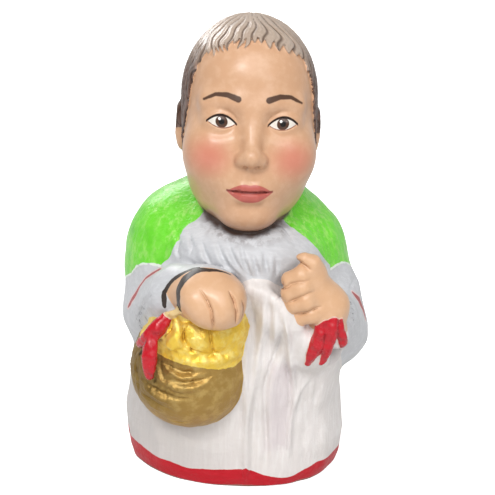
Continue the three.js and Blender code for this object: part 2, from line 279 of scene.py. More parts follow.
FOLD_STRENGTH = 1.3
APRON_FOLDS = [  # line of (height, x) from the hem up, half width, rise
    ([(4, 2.1), (14, 1.7), (25, 1.3), (41, 0.6), (54, -0.2)], 0.9, 0.65),
    ([(20, 2.0), (25, 2.4), (30, 3.0), (35, 3.7), (41, 4.2), (47, 4.6), (52, 4.1)], 0.8, 0.5),
    ([(10, 3.6), (19, 3.4), (27, 3.6)], 0.6, -0.4),
    ([(10, 7.1), (19, 6.4), (24, 5.7), (28, 5.7), (31.5, 5.8), (34, 6.7), (36, 7.8), (41, 8.7),
      (46, 9.3)], 0.6, -0.6),
    ([(10, 8.5), (19, 7.8), (26, 7.4), (31, 7.6), (36, 9.4)], 0.9, 0.3),
    ([(11, 12.7), (19, 12.5), (23, 13.2), (26, 13.3), (29, 13.2), (32.5, 12.1), (36, 11.3), (41, 11.0),
      (45, 10.2), (49, 8.9)], 0.7, 0.65),
    ([(22, 12.2), (28, 12.0), (33, 10.9), (38, 10.0)], 0.5, -0.35),
    ([(23.5, 13.5), (25.5, 14.4), (28, 14.7), (30.5, 13.8)], 0.5, 0.4),
    ([(24.5, 12.9), (26.5, 14.8), (30, 16.3), (32.5, 17.2)], 0.6, 0.35),
    ([(11, 9.8), (22, 9.7)], 0.28, -0.16),
    ([(11, 10.6), (22, 10.3)], 0.28, -0.16),
    ([(12, 11.7), (22, 11.4)], 0.28, -0.16),
    ([(25, 17.7), (31, 17.6)], 0.5, 0.3),
    ([(21, 19.4), (26, 20.6), (31.5, 19.7)], 1.2, 0.3),
    ([(8, 16.5), (14, 16.2), (19, 16.8)], 1.2, -0.25),
    ([(42, 5.8), (47, 6.2), (52, 5.4)], 0.5, -0.35),
    ([(38, 2.4), (44, 2.8), (50, 1.8)], 0.5, -0.4),
    ([(42, 7.4), (46, 7.6), (50, 6.8)], 0.5, 0.3),
    ([(5, 22.5), (14, 21.6), (24, 21.2)], 1.5, 0.3),
    ([(4, -6.5), (8, -6.2), (12, -4.8)], 1.4, 0.25),
    ([(4, -20), (10, -20.6), (16, -23)], 1.6, 0.3),
]
SKIRT_SAG = [(-17, 14.0), (-12, 12.5), (-8, 12.8), (-3.5, 15.0)]  # a slack line under the sack
DRAWN_CORNER = [(3, -24.5, 52, 3.2), (9, -25.5, 46, 3.6), (15, -24.2, 39, 3.8), (20.5, -22.4, 39.5, 4.2)]
HORN_BED = [(20.6, -25.2, 43.0, 3.2), (18.8, -25.2, 40.4, 3.2), (17.0, -24.6, 36.6, 3.0)]
APRON_RIM = [  # the edge of the drawn cloth, over the finger tips
    (1.0, -26.8, 54.0, 0.7), (4.6, -27.6, 53.0, 0.9), (7.6, -28.4, 51.4, 1.0), (9.8, -28.9, 49.0, 1.1),
    (12.6, -28.6, 45.6, 1.1), (14.6, -28.0, 42.2, 1.1), (15.4, -26.8, 39.2, 1.0),
]


def bell(p):
    z = p[:, 2]
    half_width = SKIRT_HALF_WIDTH - np.interp(z, BELL[:, 0], BELL[:, 1])
    half_depth = SKIRT_HALF_DEPTH - np.interp(z, BELL[:, 0], BELL[:, 2])
    across = np.abs((p[:, 0] - BELL_SHIFT) / half_width)
    square = np.where(p[:, 0] < BELL_SHIFT, *BELL_SQUARENESS)
    deep = np.abs(p[:, 1] / half_depth)
    reach = (across**square + deep**square) ** (1 / square)
    return np.maximum((reach - 1) * np.minimum(half_width, half_depth), z - BELL_TOP)


def folds(p):
    """How far the apron's folds stand out, on the front."""
    x, y, z = p.T
    rise = -0.3 * stroke(p, SKIRT_SAG, 0.9)
    for line, half_width, height in APRON_FOLDS:
        heights, places = np.array(line, float).T
        middle = sum(np.interp(z + dz, heights, places) for dz in (-3, 0, 3)) / 3
        ends = ease(z, heights[0] - 5, heights[0] + 2) * (1 - ease(z, heights[-1] - 5, heights[-1] + 2))
        rise += FOLD_STRENGTH * height * ends * np.exp(-(((x - middle) / half_width) ** 2))
    return rise * (1 - ease(y, -16, -6))


def skirt(p):
    x, y, z = p.T
    belly = egg(p, (1, -6, 34), (23, 20.6, 27))
    drawn_corner = join(rope(p, DRAWN_CORNER, 3), bar(p, (20, -22, 39, 4), (18, -15, 27, 5)), 4)
    drawn_corner = join(drawn_corner, rope(p, HORN_BED), 3)
    cloth = join(join(bell(p), belly, 5), drawn_corner, 5)
    cloth = join(cloth, rope(p, APRON_RIM), 2.8)
    around = np.arctan2(y, x)
    pleats = 0.45 * (1 - ease(z, 4, PLEAT_TOP)) * np.sin(PLEATS * around + 1.3 * np.sin(3 * around))
    relief = where((y < -5) & (z < 60), p, folds, 0)
    return cloth - pleats * ease(y, -20, -4) - relief - 0.2 * unevenness(p, 3.4)


print("apron folds:", len(APRON_FOLDS))

# %% [markdown]
# ## Round back, shoulders and shirt
#
# The back is one great egg, with a softer egg at each shoulder. The shirt shows between the shawl's
# edges. Its front is a roll of cloth over the apron, gathered with a pointed tool.

# %% Back, shoulders, shirt and sleeves
BACK_SHIFT = -2.3

GATHERS = [  # tool lines on the shirt, as (x, z) points
    [(-17.2, 63.2), (-16.6, 61.4), (-16.9, 59.6), (-16.2, 58.2)],
    [(-13.9, 63.4), (-13.2, 61.6), (-13.6, 60.0)],
    [(-10.8, 62.9), (-9.8, 60.6), (-8.2, 58.4)],
    [(-7.4, 64.0), (-6.0, 61.0), (-4.4, 58.8), (-1.7, 56.8)],
    [(-4.5, 63.4), (-3.2, 60.7), (-1.2, 58.2), (0.2, 56.8)],
    [(-1.5, 63.2), (-0.6, 60.0), (0.8, 57.2), (2.4, 55.2)],
    [(1.4, 61.4), (2.3, 58.8), (3.1, 56.4)],
    [(3.9, 62.2), (4.4, 59.6), (5.2, 57.4)],
    [(6.8, 61.2), (7.1, 58.6), (7.0, 57.0)],
]
COLLAR_LINES = [
    [(5.6, 66.8), (8.0, 66.3), (9.6, 64.9), (11.4, 63.2)],
    [(7.4, 67.4), (9.6, 66.6), (11.2, 65.2)],
    [(-10.8, 68.0), (-8.6, 66.7), (-6.4, 65.8)],
]


def gathers(p):
    """The tool lines on the shirt, with a little cloth thrown up beside each of them."""
    beside = p + (1.15, 0, 0.3)
    pressed = reduce(np.maximum, [stroke(p, line, 0.6, ends=0.45) for line in GATHERS])
    raised = reduce(np.maximum, [stroke(beside, line, 1.0, ends=0.45) for line in GATHERS])
    collar = reduce(np.maximum, [stroke(p, line, 0.6) for line in COLLAR_LINES])
    return (0.75 * pressed - 0.4 * raised + 0.5 * collar) * (1 - ease(p[:, 1], -14, -9))


def gathered(p):
    x, y, z = p.T
    return where((y < -8) & (z > 53) & (z < 70) & (np.abs(x) < 20), p, gathers, 0)


def shirt_front(p):
    roll = egg(p, (0, -10.2, 58.5), (19.5, 15.8, 9.6))
    return roll + gathered(p) - 0.15 * unevenness(p, 2.1)


def shawl(p):
    back = egg(p, (BACK_SHIFT, 4, 44), (29.5, 27, 34))
    shoulders = [egg(p, (-19.5, 1, 56.1), (11.7, 14, 14.8)), egg(p, (14.0, 1, 55.6), (11.4, 14, 12.8))]
    neck = bar(p, (0, 1, 58, 13), (0, 1, 84, 11))
    return join_all([back, *shoulders, neck], 5) + gathered(p) - 0.25 * unevenness(p, 3.8)


RIGHT_SLEEVE = [(-22.2, 1, 54, 8.8), (-22.4, -5, 39.5, 8.6), (-16.5, -24, 50.5, 7)]
LEFT_SLEEVE = [(17.6, 0, 53.5, 6.5), (20.6, -2, 45.5, 8.7), (22.9, -4.5, 36.4, 8.9), (21.3, -16, 43.5, 7.0)]
SLEEVE_LINES = [
    [(-21.6, 52.4), (-23.4, 49.0), (-24.6, 46.6), (-26.0, 43.2), (-27.0, 40.4)],
    [(-24.6, 44.0), (-23.6, 42.0), (-24.0, 40.2)],
    [(28.4, 50.6), (27.2, 49.6), (26.6, 48.4)],
    [(24.8, 56.0), (25.8, 54.4), (27.4, 53.6)],
]


def sleeves(p):
    both = np.minimum(rope(p, RIGHT_SLEEVE, 4), rope(p, LEFT_SLEEVE, 4))
    x, y, z = p.T
    near_cuff = ease(-y, 12, 18) * (1 - ease(z, 55, 58))
    both = both - 0.09 * unevenness(p, 0.7) * near_cuff - 0.2 * unevenness(p, 2.6)
    return both + where(y < -4, p, lambda near: grooves(near, SLEEVE_LINES, 0.5, 0.3), 0)


print("tool lines in the cloth:", len(GATHERS + COLLAR_LINES + SLEEVE_LINES))

# %% [markdown]
# ## Hands
#
# The right hand is a plump fist over the sack's neck, with three grooves between its fingers. The
# left one lies across the apron's corner with its thumb up. Both are small, so each finger is one
# short rope, and a pointed tool draws the lines between them.

# %% Hands
RIGHT_FINGERS = [  # middle, half sizes and turns of each finger's end
    ((-10.1, -35.7, 52.2), (3.6, 4.9, 5.9), (0, -37, 0)),
    ((-5.0, -36.5, 52.1), (3.4, 4.8, 4.8), (0, 0, 0)),
    ((-2.3, -34.7, 52.5), (2.3, 4.1, 4.6), (0, 0, 0)),
]
RIGHT_GROOVES = [
    [(-10.1, 57.1), (-8.3, 54.9), (-7.3, 52.8), (-7.0, 50.4), (-7.0, 47.6)],
    [(-3.7, 56.9), (-2.5, 54.8), (-1.8, 52.1), (-1.9, 49.6)],
]
SMALL_FINGER_LINE = [(-0.9, 55.0), (-0.4, 53.0), (-0.4, 51.0), (-0.9, 49.6)]
LEFT_THUMB = [
    (16.2, -26.6, 58.6, 2.3), (15.0, -28.0, 61.0, 2.1), (13.2, -28.4, 62.2, 1.3), (12.2, -28.3, 62.3, 0.9)
]
LEFT_FINGERS = [
    [(15.6, -27.2, 59.0, 2.0), (12.6, -29.2, 58.4, 2.0), (10.0, -28.7, 57.2, 1.9)],
    [(16.2, -27.4, 56.2, 2.1), (13.0, -29.8, 55.3, 2.2), (10.2, -29.2, 54.1, 2.1)],
    [(17.4, -27.2, 53.2, 2.1), (14.1, -29.9, 52.1, 2.2), (11.6, -29.4, 51.1, 1.9)],
    [(18.6, -26.4, 50.2, 2.1), (15.8, -29.2, 48.9, 2.1), (13.6, -28.9, 47.9, 1.8)],
]
LEFT_GROOVES = [
    [(11.1, 62.4), (12.4, 61.5), (13.6, 60.8), (15.0, 59.9)],
    [(8.6, 57.0), (8.8, 55.2), (9.6, 55.6), (10.5, 56.6), (12.0, 57.3), (14.6, 57.8)],
    [(9.6, 51.8), (11.1, 52.8), (12.9, 54.0), (14.4, 54.8), (15.9, 55.0)],
    [(11.4, 49.0), (13.9, 49.9), (15.6, 50.8), (17.7, 51.3)],
    [(14.0, 45.7), (15.8, 46.4), (16.8, 46.9)],
]


def right_hand(p):
    dome = egg(p, (-7.9, -31, 53.4), (7.7, 9.0, 6.2), (-12, 0, 10))
    wrist = bar(p, (-16, -25, 53.4, 5.2), (-10, -31, 54.2, 5.7))
    fist = join_all([join(dome, wrist, 3)] + [egg(p, *finger) for finger in RIGHT_FINGERS], 2.4)
    return fist + grooves(p, RIGHT_GROOVES, 0.38, 0.6) + grooves(p, [SMALL_FINGER_LINE], 0.35, 0.35)


def left_hand(p):
    palm = bar(p, (15.4, -25.6, 58.0, 2.9), (19.8, -24.6, 49.8, 4.5))
    wrist = bar(p, (19.8, -24.6, 49.8, 4.5), (19.8, -23.0, 43.4, 4.8))
    fingers = join_all([rope(p, finger) for finger in LEFT_FINGERS], 1.7)
    fist = join(join(palm, wrist, 3), fingers, 2.4)
    return join(fist, rope(p, LEFT_THUMB), 1.4) + grooves(p, LEFT_GROOVES, 0.5, 0.45)


print("finger forms:", len(RIGHT_FINGERS), "on the right hand and", len(LEFT_FINGERS), "on the left")

# %% [markdown]
# ## Sack and luck horns
#
# The sack's cloth is bunched under the fist, so fat folds run down from it over the light gold neck,
# and the bag below has slack creases on its upper left. The horns are short curved cones, thick at
# the top, like small red peppers.

# %% Sack and horns
SACK_FOLDS = [  # rolls of bunched cloth, from the fist down, and the rolled rim below them
    [(-17.6, -31.0, 47.0, 0.8), (-17.9, -31.8, 44.4, 1.1), (-18.6, -31.6, 41.8, 0.9)],
    [(-15.8, -33.0, 47.6, 0.7), (-15.2, -33.8, 45.4, 1.1), (-15.4, -34.2, 43.4, 1.6),
     (-16.2, -33.9, 42.0, 1.7)],
    [(-14.6, -33.2, 41.4, 1.0), (-12.6, -33.6, 40.4, 0.9), (-11.4, -34.0, 40.0, 0.6)],
    [(-12.4, -33.4, 45.8, 0.9), (-12.2, -33.8, 43.8, 1.0)],
    [(-18.6, -30.4, 40.6, 0.8), (-16.4, -32.4, 39.5, 1.1), (-13.8, -33.4, 38.4, 1.2),
     (-10.4, -33.4, 37.6, 1.2), (-6.9, -32.4, 37.5, 1.1), (-4.0, -31.0, 37.7, 0.9),
     (-1.8, -29.4, 38.4, 0.6)],
]
NECK_PILLOW = ((-10.0, -32.6, 42.9), (3.0, 2.6, 2.5), (0, 20, 0))
NECK_SIDE = ((-4.6, -26.2, 46, 4.4), (-4.2, -26.6, 38.6, 4.3))
NECK_GROOVES = [
    [(-7.9, 46.4), (-7.7, 43.6), (-7.2, 41.2), (-6.8, 39.0)],
    [(-13.8, 45.8), (-13.9, 43.6), (-13.0, 41.6), (-11.8, 40.7), (-9.6, 40.2)],
]
BAG_CREASES = [  # line of (x, z), half width, rise
    ([(-18.6, 37.0), (-16.5, 35.9), (-13.5, 35.2), (-10.0, 35.4)], 0.6, -0.8),
    ([(-17.4, 35.2), (-14, 34.1), (-10.4, 34.4)], 0.6, 0.6),
    ([(-17.6, 33.4), (-13.8, 32.7), (-10.0, 33.3), (-7.0, 34.3)], 0.5, -0.6),
    ([(-18.8, 32.6), (-15.6, 31.5), (-11.6, 31.6), (-8.0, 32.8)], 0.9, 0.75),
    ([(-17.6, 31.0), (-14.6, 30.0), (-11.6, 30.2)], 0.5, -0.4),
    ([(-19.2, 37.6), (-19.0, 35.0), (-18.0, 32.6)], 0.7, -0.6),
    ([(-23.6, 31.2), (-19.6, 29.9), (-15.9, 28.7), (-11.6, 28.8)], 0.6, -0.8),
    ([(-23.5, 29.5), (-20.4, 28.3), (-16.9, 27.1)], 0.7, 0.6),
    ([(-23.9, 27.5), (-20.4, 26.1), (-16.8, 25.2)], 0.5, -0.6),
    ([(-22.4, 25.0), (-19.4, 23.8)], 0.5, 0.3),
    ([(-25.6, 34.0), (-24.6, 30.0), (-24.6, 26.0)], 0.6, -0.4),
    ([(-16.4, 21.0), (-14.4, 20.8), (-11.9, 21.4)], 0.4, -0.3),
]
HORNS = [  # two at the sack, then three at the left wrist
    [(-17.9, -32.2, 48.0, 1.0), (-18.9, -33.0, 46.8, 1.6), (-20.2, -33.4, 45.1, 1.9),
     (-21.7, -33.3, 43.3, 1.7), (-23.4, -31.6, 41.2, 1.3), (-24.6, -29.8, 39.4, 0.8),
     (-25.4, -28.4, 37.2, 0.4)],
    [(-20.9, -34.0, 43.0, 1.1), (-21.4, -34.8, 41.0, 1.6), (-21.5, -35.2, 38.2, 1.75),
     (-21.5, -35.2, 35.8, 1.4), (-21.4, -34.8, 33.6, 0.8), (-21.2, -34.4, 32.0, 0.25)],
    [(18.4, -29.4, 47.0, 1.5), (18.0, -29.6, 44.2, 1.6), (17.5, -29.5, 41.8, 1.65), (16.9, -29.3, 40.0, 1.5),
     (16.2, -28.9, 38.4, 1.15), (15.8, -28.6, 37.1, 0.8), (15.5, -28.4, 36.0, 0.4)],
    [(20.6, -29.2, 47.6, 1.4), (20.6, -29.6, 44.6, 1.45), (20.3, -29.4, 42.2, 1.2), (20.0, -29.2, 40.2, 1.1),
     (19.6, -28.9, 38.6, 0.95), (19.3, -28.6, 37.3, 0.7), (18.8, -28.3, 36.2, 0.4)],
    [(22.0, -28.4, 48.0, 0.9), (22.5, -28.5, 45.6, 1.1), (23.3, -28.1, 43.4, 1.1), (23.9, -27.4, 41.6, 1.1),
     (24.4, -26.7, 40.0, 1.0), (24.8, -26.0, 38.4, 0.7)],
]
HORN_FLATNESS = 1.25
CORDS = [
    [(-15.6, -34.4, 50.9, 0.4), (-17.1, -33.4, 49.4, 0.5), (-18.3, -32.4, 48.3, 0.5)],
    [(-14.6, -34.6, 49.9, 0.4), (-16.0, -33.6, 49.1, 0.45), (-17.2, -32.8, 48.3, 0.45)],
]


def bag(p):
    round_bag = egg(p, (-12.9, -20.5, 31), (14.8, 15, 15.2))
    for line, half_width, rise in BAG_CREASES:
        round_bag = round_bag - rise * stroke(p, line, half_width)
    slack = ease(p[:, 2], 25, 30) * (1 - ease(p[:, 0], -10, -4))
    return round_bag - 0.12 * unevenness(p, 1.7) - 0.2 * slack * unevenness(p, 0.75)


def sack_neck(p):
    neck = join(egg(p, (-11, -24, 43), (12.4, 11.0, 6.8), (0, -6, 0)), bar(p, *NECK_SIDE), 2)
    neck = join(neck, egg(p, *NECK_PILLOW), 1.2)
    for stops in SACK_FOLDS:
        neck = join(neck, rope(p, smoothed(stops), 0.4), 1.2)
    return neck + grooves(p, NECK_GROOVES, 0.6, 0.85) - 0.16 * unevenness(p, 0.9)


def horns(p):
    cones = [leaf(p, smoothed(stops), HORN_FLATNESS, 0.3) for stops in HORNS]
    return join_all(cones, 0.5) - 0.1 * unevenness(p, 0.8)


def cords(p):
    return reduce(np.minimum, [rope(p, stops) for stops in CORDS])


print("luck horns:", len(HORNS))

# %% [markdown]
# ## Head, face and hair
#
# The head has a frame of its own, with its middle at zero. The face is a calm one on the proportions
# that drawing books teach: the eyes halfway up the head, the nose halfway between brow and chin,
# the mouth a third of the way below that, and the head five eyes wide.
#
# The hair is short and combed forward from the crown. A modeller cuts it into locks with a knife,
# and ends each lock in a point.

# %% The head's proportions
HEAD_HEIGHT = 51
HEAD_PLACE = np.array([-1.1, -4, 90.5])
HEAD_TURN = (-5, 0, 3)  # chin up, and a little to the left
EYE_APART = HEAD_HEIGHT * 0.138  # from the middle line to each eye
EYE_LINE = 0
EYE_HALF_WIDTH = 3.3
UPPER_LID, LOWER_LID = 1.6, -1.25  # the open eye's height above and below its line
LID_THICKNESS = 0.5
BROW_LINE = HEAD_HEIGHT * 0.085
NOSE_BASE = -HEAD_HEIGHT * 0.19
MOUTH_LINE = -HEAD_HEIGHT * 0.305
MOUTH_HALF_WIDTH = 5.3
HAIRLINE = HEAD_HEIGHT * 0.365


def in_head(p):
    """Points in the head's own frame."""
    return (p - HEAD_PLACE) @ turned(HEAD_TURN)


def skull(q):
    cheeks = [egg(q, (side * 8.6, -12, -7.4), (6.9, 7.4, 7.4)) for side in SIDES]
    bones = [
        egg(q, (0, 2.5, 6.2), (16.3, 20, 19)),
        egg(q, (0, -5.6, -4.4), (15.4, 14.6, 20.9)),
        egg(q, (0, -8, 9.6), (13, 11.6, 11.5)),
        egg(q, (0, -4.5, -13.5), (13.8, 13.2, 11.6)),
        *cheeks,
    ]
    head = join_all(bones, 4)
    head = join(head, egg(q, (0, -14.6, -21.4), (6.2, 4.6, 4)), 5)
    return join(head, egg(q, (0, -15, -13.6), (7.4, 6, 6)), 4)


def eye_place(q):
    """For the nearer eye: how far outward and how far up from its middle a point is."""
    across = np.abs(q[:, 0]) - EYE_APART
    return across, q[:, 2] - EYE_LINE - 0.08 * across


def eye_opening(q, margin=0):
    """How far a point is inside the opening between the lids, in millimetres."""
    across, up = eye_place(q)
    arch = 1 - (across / EYE_HALF_WIDTH) ** 2
    return np.minimum(UPPER_LID * arch - up, up - LOWER_LID * arch) + margin


def lid_fold(q):
    """The soft fold above each upper lid."""
    across, up = eye_place(q)
    arch = 1 - (across / (EYE_HALF_WIDTH + 1)) ** 2
    away = up - (UPPER_LID + 1.15) * np.maximum(arch, 0) - 0.1
    return np.exp(-((away / 0.4) ** 2)) * (1 - ease(np.abs(across), 2.6, 4.2))


def eyes(head, q):
    for side in SIDES:
        inner, outer = (side * 3.2, -17.8, BROW_LINE - 0.4, 1.7), (side * 10.2, -15.4, BROW_LINE, 1.3)
        head = join(head, bar(q, inner, outer), 4)
    for side in SIDES:
        head = press(head, egg(q, (side * EYE_APART, -23, 0.1), (4.8, 5.0, 3.1)), 2.6)
    head = head + 0.25 * lid_fold(q)
    lids = LID_THICKNESS * ease(-eye_opening(q), -0.05, 0.3)
    for side in SIDES:
        head = join(head, egg(q, (side * EYE_APART, -14.5, EYE_LINE), (4.4, 4.3, 4.2)) - lids, 0.9)
    return head


def nose(head, q):
    bridge = bar(q, (0, -18.2, BROW_LINE - 2, 1.35), (0, -22.0, NOSE_BASE + 2.6, 1.8))
    head = join(head, bridge, 2.8)
    head = join(head, egg(q, (0, -22.5, NOSE_BASE + 2.1), (2.25, 2.3, 2.1)), 1.5)
    for side in SIDES:
        head = join(head, egg(q, (side * 2.3, -20.9, NOSE_BASE + 1.4), (1.4, 2.2, 1.5)), 1.2)
    for side in SIDES:
        head = press(head, egg(q, (side * 1.2, -22.1, NOSE_BASE), (0.6, 1.1, 0.55)), 0.5)
    return press(head, bar(q, (0, -21.9, NOSE_BASE - 1.6, 0.5), (0, -22.1, MOUTH_LINE + 2.6, 0.7)), 1.2)


def mouth(head, q):
    upper = [
        (-5.0, -18.6, MOUTH_LINE + 0.3, 0.5),
        (-1.6, -20.4, MOUTH_LINE + 0.9, 1.1),
        (0, -20.5, MOUTH_LINE + 0.75, 1.0),
        (1.6, -20.4, MOUTH_LINE + 0.9, 1.1),
        (5.0, -18.6, MOUTH_LINE + 0.3, 0.5),
    ]
    lower = [
        (-4.4, -18.6, MOUTH_LINE - 0.5, 0.5),
        (-1.5, -19.9, MOUTH_LINE - 1.25, 1.25),
        (1.5, -19.9, MOUTH_LINE - 1.25, 1.25),
        (4.4, -18.6, MOUTH_LINE - 0.5, 0.5),
    ]
    between = [
        (-5.4, -18.7, MOUTH_LINE + 0.15, 0.25),
        (-2.4, -21.0, MOUTH_LINE, 0.35),
        (0, -21.3, MOUTH_LINE - 0.15, 0.35),
        (2.4, -21.0, MOUTH_LINE, 0.35),
        (5.4, -18.7, MOUTH_LINE + 0.15, 0.25),
    ]
    head = join(head, rope(q, upper, 0.6), 1.0)
    head = join(head, rope(q, lower, 0.6), 1.0)
    head = press(head, rope(q, between, 0.3), 0.5)
    under_lip = [(-3.5, MOUTH_LINE - 3.6), (0, MOUTH_LINE - 4.0), (3.5, MOUTH_LINE - 3.6)]
    return head + 0.3 * stroke(q, under_lip, 1.2)


def face(q):
    return mouth(nose(eyes(skull(q), q), q), q)


def ears(q):
    both = []
    for side in SIDES:
        shell = egg(q, (side * 16.4, 2.5, -1), (2.1, 3.6, 5.4), (12, 0, side * 12))
        shell = press(shell, egg(q, (side * 18.9, 1.7, -0.6), (1.8, 2.0, 3.4), (12, 0, side * 12)), 0.6)
        lobe = egg(q, (side * 15.9, 1, -6), (1.8, 2.2, 2.4))
        both.append(join(shell, lobe, 1.5))
    return np.minimum(*both)


print("head height, mm:", HEAD_HEIGHT)

# %% Hair
LOCKS = 46
STRANDS = 3  # in each lock
HAIR_THICKNESS = 0.65
LOCK_DEPTH = 0.5
STRAND_DEPTH = 0.14
EAR_FRONT = 40  # degrees from the face's middle line, round to the hair before the ear


def luck(number):
    """A steady random value from 0 to 1 for a whole number."""
    return np.sin(12.9898 * number + 4.1) * 43758.5453 % 1


def lock_count(q):
    """Counts the locks round the crown. Its whole part names the lock."""
    around = np.arctan2(q[:, 0], -(q[:, 1] - 5))
    z = q[:, 2]
    sway = 0.045 * np.sin(0.5 * z + 4 * around) + 0.02 * np.sin(1.3 * z + 9 * around + 1)
    return (around + sway + 0.05 * np.sin(6 * around + 1)) / (2 * math.pi) * LOCKS


def hair_reach(q):
    """How far a point is inside the hair's edge, in millimetres."""
    around = np.degrees(np.abs(np.arctan2(q[:, 0], -(q[:, 1] - 2))))
    side = ease(around, EAR_FRONT, EAR_FRONT + 32)
    nape = ease(around, 112, 150)
    front = HAIRLINE - 6.5 * (around / 52) ** 2
    edge = front + (-10 - front) * side
    edge = edge + (-22 - edge) * nape
    count = lock_count(q) * 1.7
    within = np.abs(count % 1 - 0.5) * 2
    point = (0.4 + 2.2 * luck(np.floor(count))) * (1 - within**1.4) * (1 - 0.7 * side) - 0.6
    return q[:, 2] - edge + point


def hair(q):
    """How far the hair stands out over the skull."""
    count = lock_count(q)
    depth = LOCK_DEPTH * (0.45 + 0.55 * luck(np.round(count)))
    lock = np.abs(np.sin(math.pi * count)) ** 0.55
    strand = np.abs(np.sin(math.pi * count * STRANDS + 0.6 * np.sin(0.9 * q[:, 2])))
    relief = HAIR_THICKNESS + depth * (lock - 0.85) + STRAND_DEPTH * (strand - 0.6)
    return ease(hair_reach(q), -0.2, 0.5) * relief


def head(p):
    q = in_head(p)
    bare = where(q[:, 1] < -7, q, face, FAR)
    bare = np.where(q[:, 1] < -7, bare, skull(q))
    return join(bare - hair(q), ears(q), 0.8)


print("locks of hair:", LOCKS)

# %% [markdown]
# ## The whole figure
#
# Every form is kept by name, because the paint later asks which one a point belongs to. Cloth on
# cloth is joined softly, and the hands, the sack, the horns and the head are pressed on with only
# a thin fillet, as separate rolls of clay are.

# %% Join all the forms
def forms(p):
    x, y, z = p.T
    low_front = (y < -2) & (z < 54) & (x < 6)
    return {
        "skirt": where(z < 68, p, skirt, FAR),
        "shawl": where(z > 5, p, shawl, FAR),
        "shirt": where((z > 45) & (y < 8), p, shirt_front, FAR),
        "sleeves": where((z > 22) & (z < 68), p, sleeves, FAR),
        "right hand": where((y < -15) & (z > 42) & (z < 66) & (x < 6), p, right_hand, FAR),
        "left hand": where((y < -12) & (z > 36) & (z < 70) & (x > 3), p, left_hand, FAR),
        "bag": where(low_front & (z > 10), p, bag, FAR),
        "sack neck": where(low_front & (z > 31) & (y < -8), p, sack_neck, FAR),
        "horns": where((y < -20) & (z > 28) & (z < 54) & (np.abs(x) > 11), p, horns, FAR),
        "cords": where((y < -28) & (z > 44) & (z < 54) & (x < -11), p, cords, FAR),
        "head": where(z > 60, p, head, FAR),
    }


def figure(p):
    f = forms(p)
    upper = join(f["shawl"], f["shirt"], 2.5)
    whole = join(join(f["skirt"], upper, 3), f["sleeves"], 2.6)
    sack = join(f["bag"], f["sack neck"], 1.2)
    for piece in (sack, f["right hand"], f["left hand"], f["head"]):
        whole = join(whole, piece, 0.9)
    return join(join(whole, f["cords"], 0.6), f["horns"], 0.8)


# %% [markdown]
# ## Pull the skin onto the forms
#
# Each corner of the mesh reads its distance and moves until it is on the forms. At first it goes
# straight down the slope of the distance, which also flattens what the fine forms have no more.
# Later it only goes in or out along its normal, which keeps the squares even. The skin is remeshed
# on the way, so that none of them stays stretched. The foot stays flat on the table.

# %% Pull
TOUCH = 0.03  # millimetres, for feeling how fast the distance grows
NEAR_ENOUGH = 0.04  # millimetres off the forms


def read(piece, what):
    flat = np.empty(len(piece.data.vertices) * 3, np.float32)
    piece.data.vertices.foreach_get(what, flat)
    return flat.reshape(-1, 3).astype(float)


def corners(piece):
    """The mesh's corners, in millimetres, in the maker's own frame."""
    return read(piece, "co") / MM - SLIDE


def set_corners(piece, places):
    places[:, 2] = np.maximum(places[:, 2], 0)
    piece.data.vertices.foreach_set("co", ((places + SLIDE) * MM).astype(np.float32).ravel())
    piece.data.update()


def settle(p, rounds, most):
    """Moves points down the slope of the distance, felt from four sides, until they are on the forms."""
    feelers = np.array([(1, -1, -1), (-1, 1, -1), (-1, -1, 1), (1, 1, 1)], float)
    p = p.copy()
    for _ in range(rounds):
        gap = figure(p)
        off = np.abs(gap) > NEAR_ENOUGH
        q, gap = p[off], gap[off]
        uphill = sum(np.outer(figure(q + TOUCH * feeler), feeler) for feeler in feelers) / (4 * TOUCH)
        steep = np.maximum((uphill**2).sum(axis=1), 0.25)
        step = (gap / steep)[:, None] * uphill
        length = np.linalg.norm(step, axis=1, keepdims=True)
        p[off] = q - step * np.minimum(1, most / np.maximum(length, 1e-9))
    return p


def feel(piece):
    """The corners, their normals, their distance from the forms, and how fast it grows outwards."""
    places, outward = corners(piece), read(piece, "normal")
    gap = figure(places)
    return places, outward, gap, (figure(places + TOUCH * outward) - gap) / TOUCH


def pull(piece, rounds, most):
    """Moves the corners along their normals onto the forms, by at most so many millimetres a round."""
    for _ in range(rounds):
        places, outward, gap, growth = feel(piece)
        step = np.clip(gap / np.maximum(growth, 0.4), -most, most)
        set_corners(piece, places - step[:, None] * outward)
    print("last step, mm:", round(float(np.abs(step).mean()), 3))


for rounds, most in ((6, 1.0), (4, 0.6)):
    set_corners(clay, settle(corners(clay), rounds, most))
    remesh(clay, VOXEL)
pull(clay, rounds=2, most=0.4)

# %% [markdown]
# ## Smooth the torn places
#
# In a few slits the skin is too coarse to follow both walls, and comes out torn. A wet thumb closes
# such places on the real clay. Here the corners that are off the forms, or face the wrong way, are
# smoothed together with their neighbours. The head's carving is clean, so this stops at the neck.

# %% Smooth
NECK_HEIGHT = 64  # millimetres
TORN_GAP = 0.15  # millimetres off the forms
TORN_SLOPE = 0.35  # of the growth that a corner facing straight outwards feels


def open_selected(piece, kind, chosen):
    """Goes into edit mode with only the chosen corners or faces selected."""
    only(piece)
    bpy.ops.object.mode_set(mode="EDIT")
    bpy.ops.mesh.select_mode(type=kind)
    bpy.ops.mesh.select_all(action="DESELECT")
    bpy.ops.object.mode_set(mode="OBJECT")
    parts = piece.data.vertices if kind == "VERT" else piece.data.polygons
    parts.foreach_set("select", chosen)
    bpy.ops.object.mode_set(mode="EDIT")


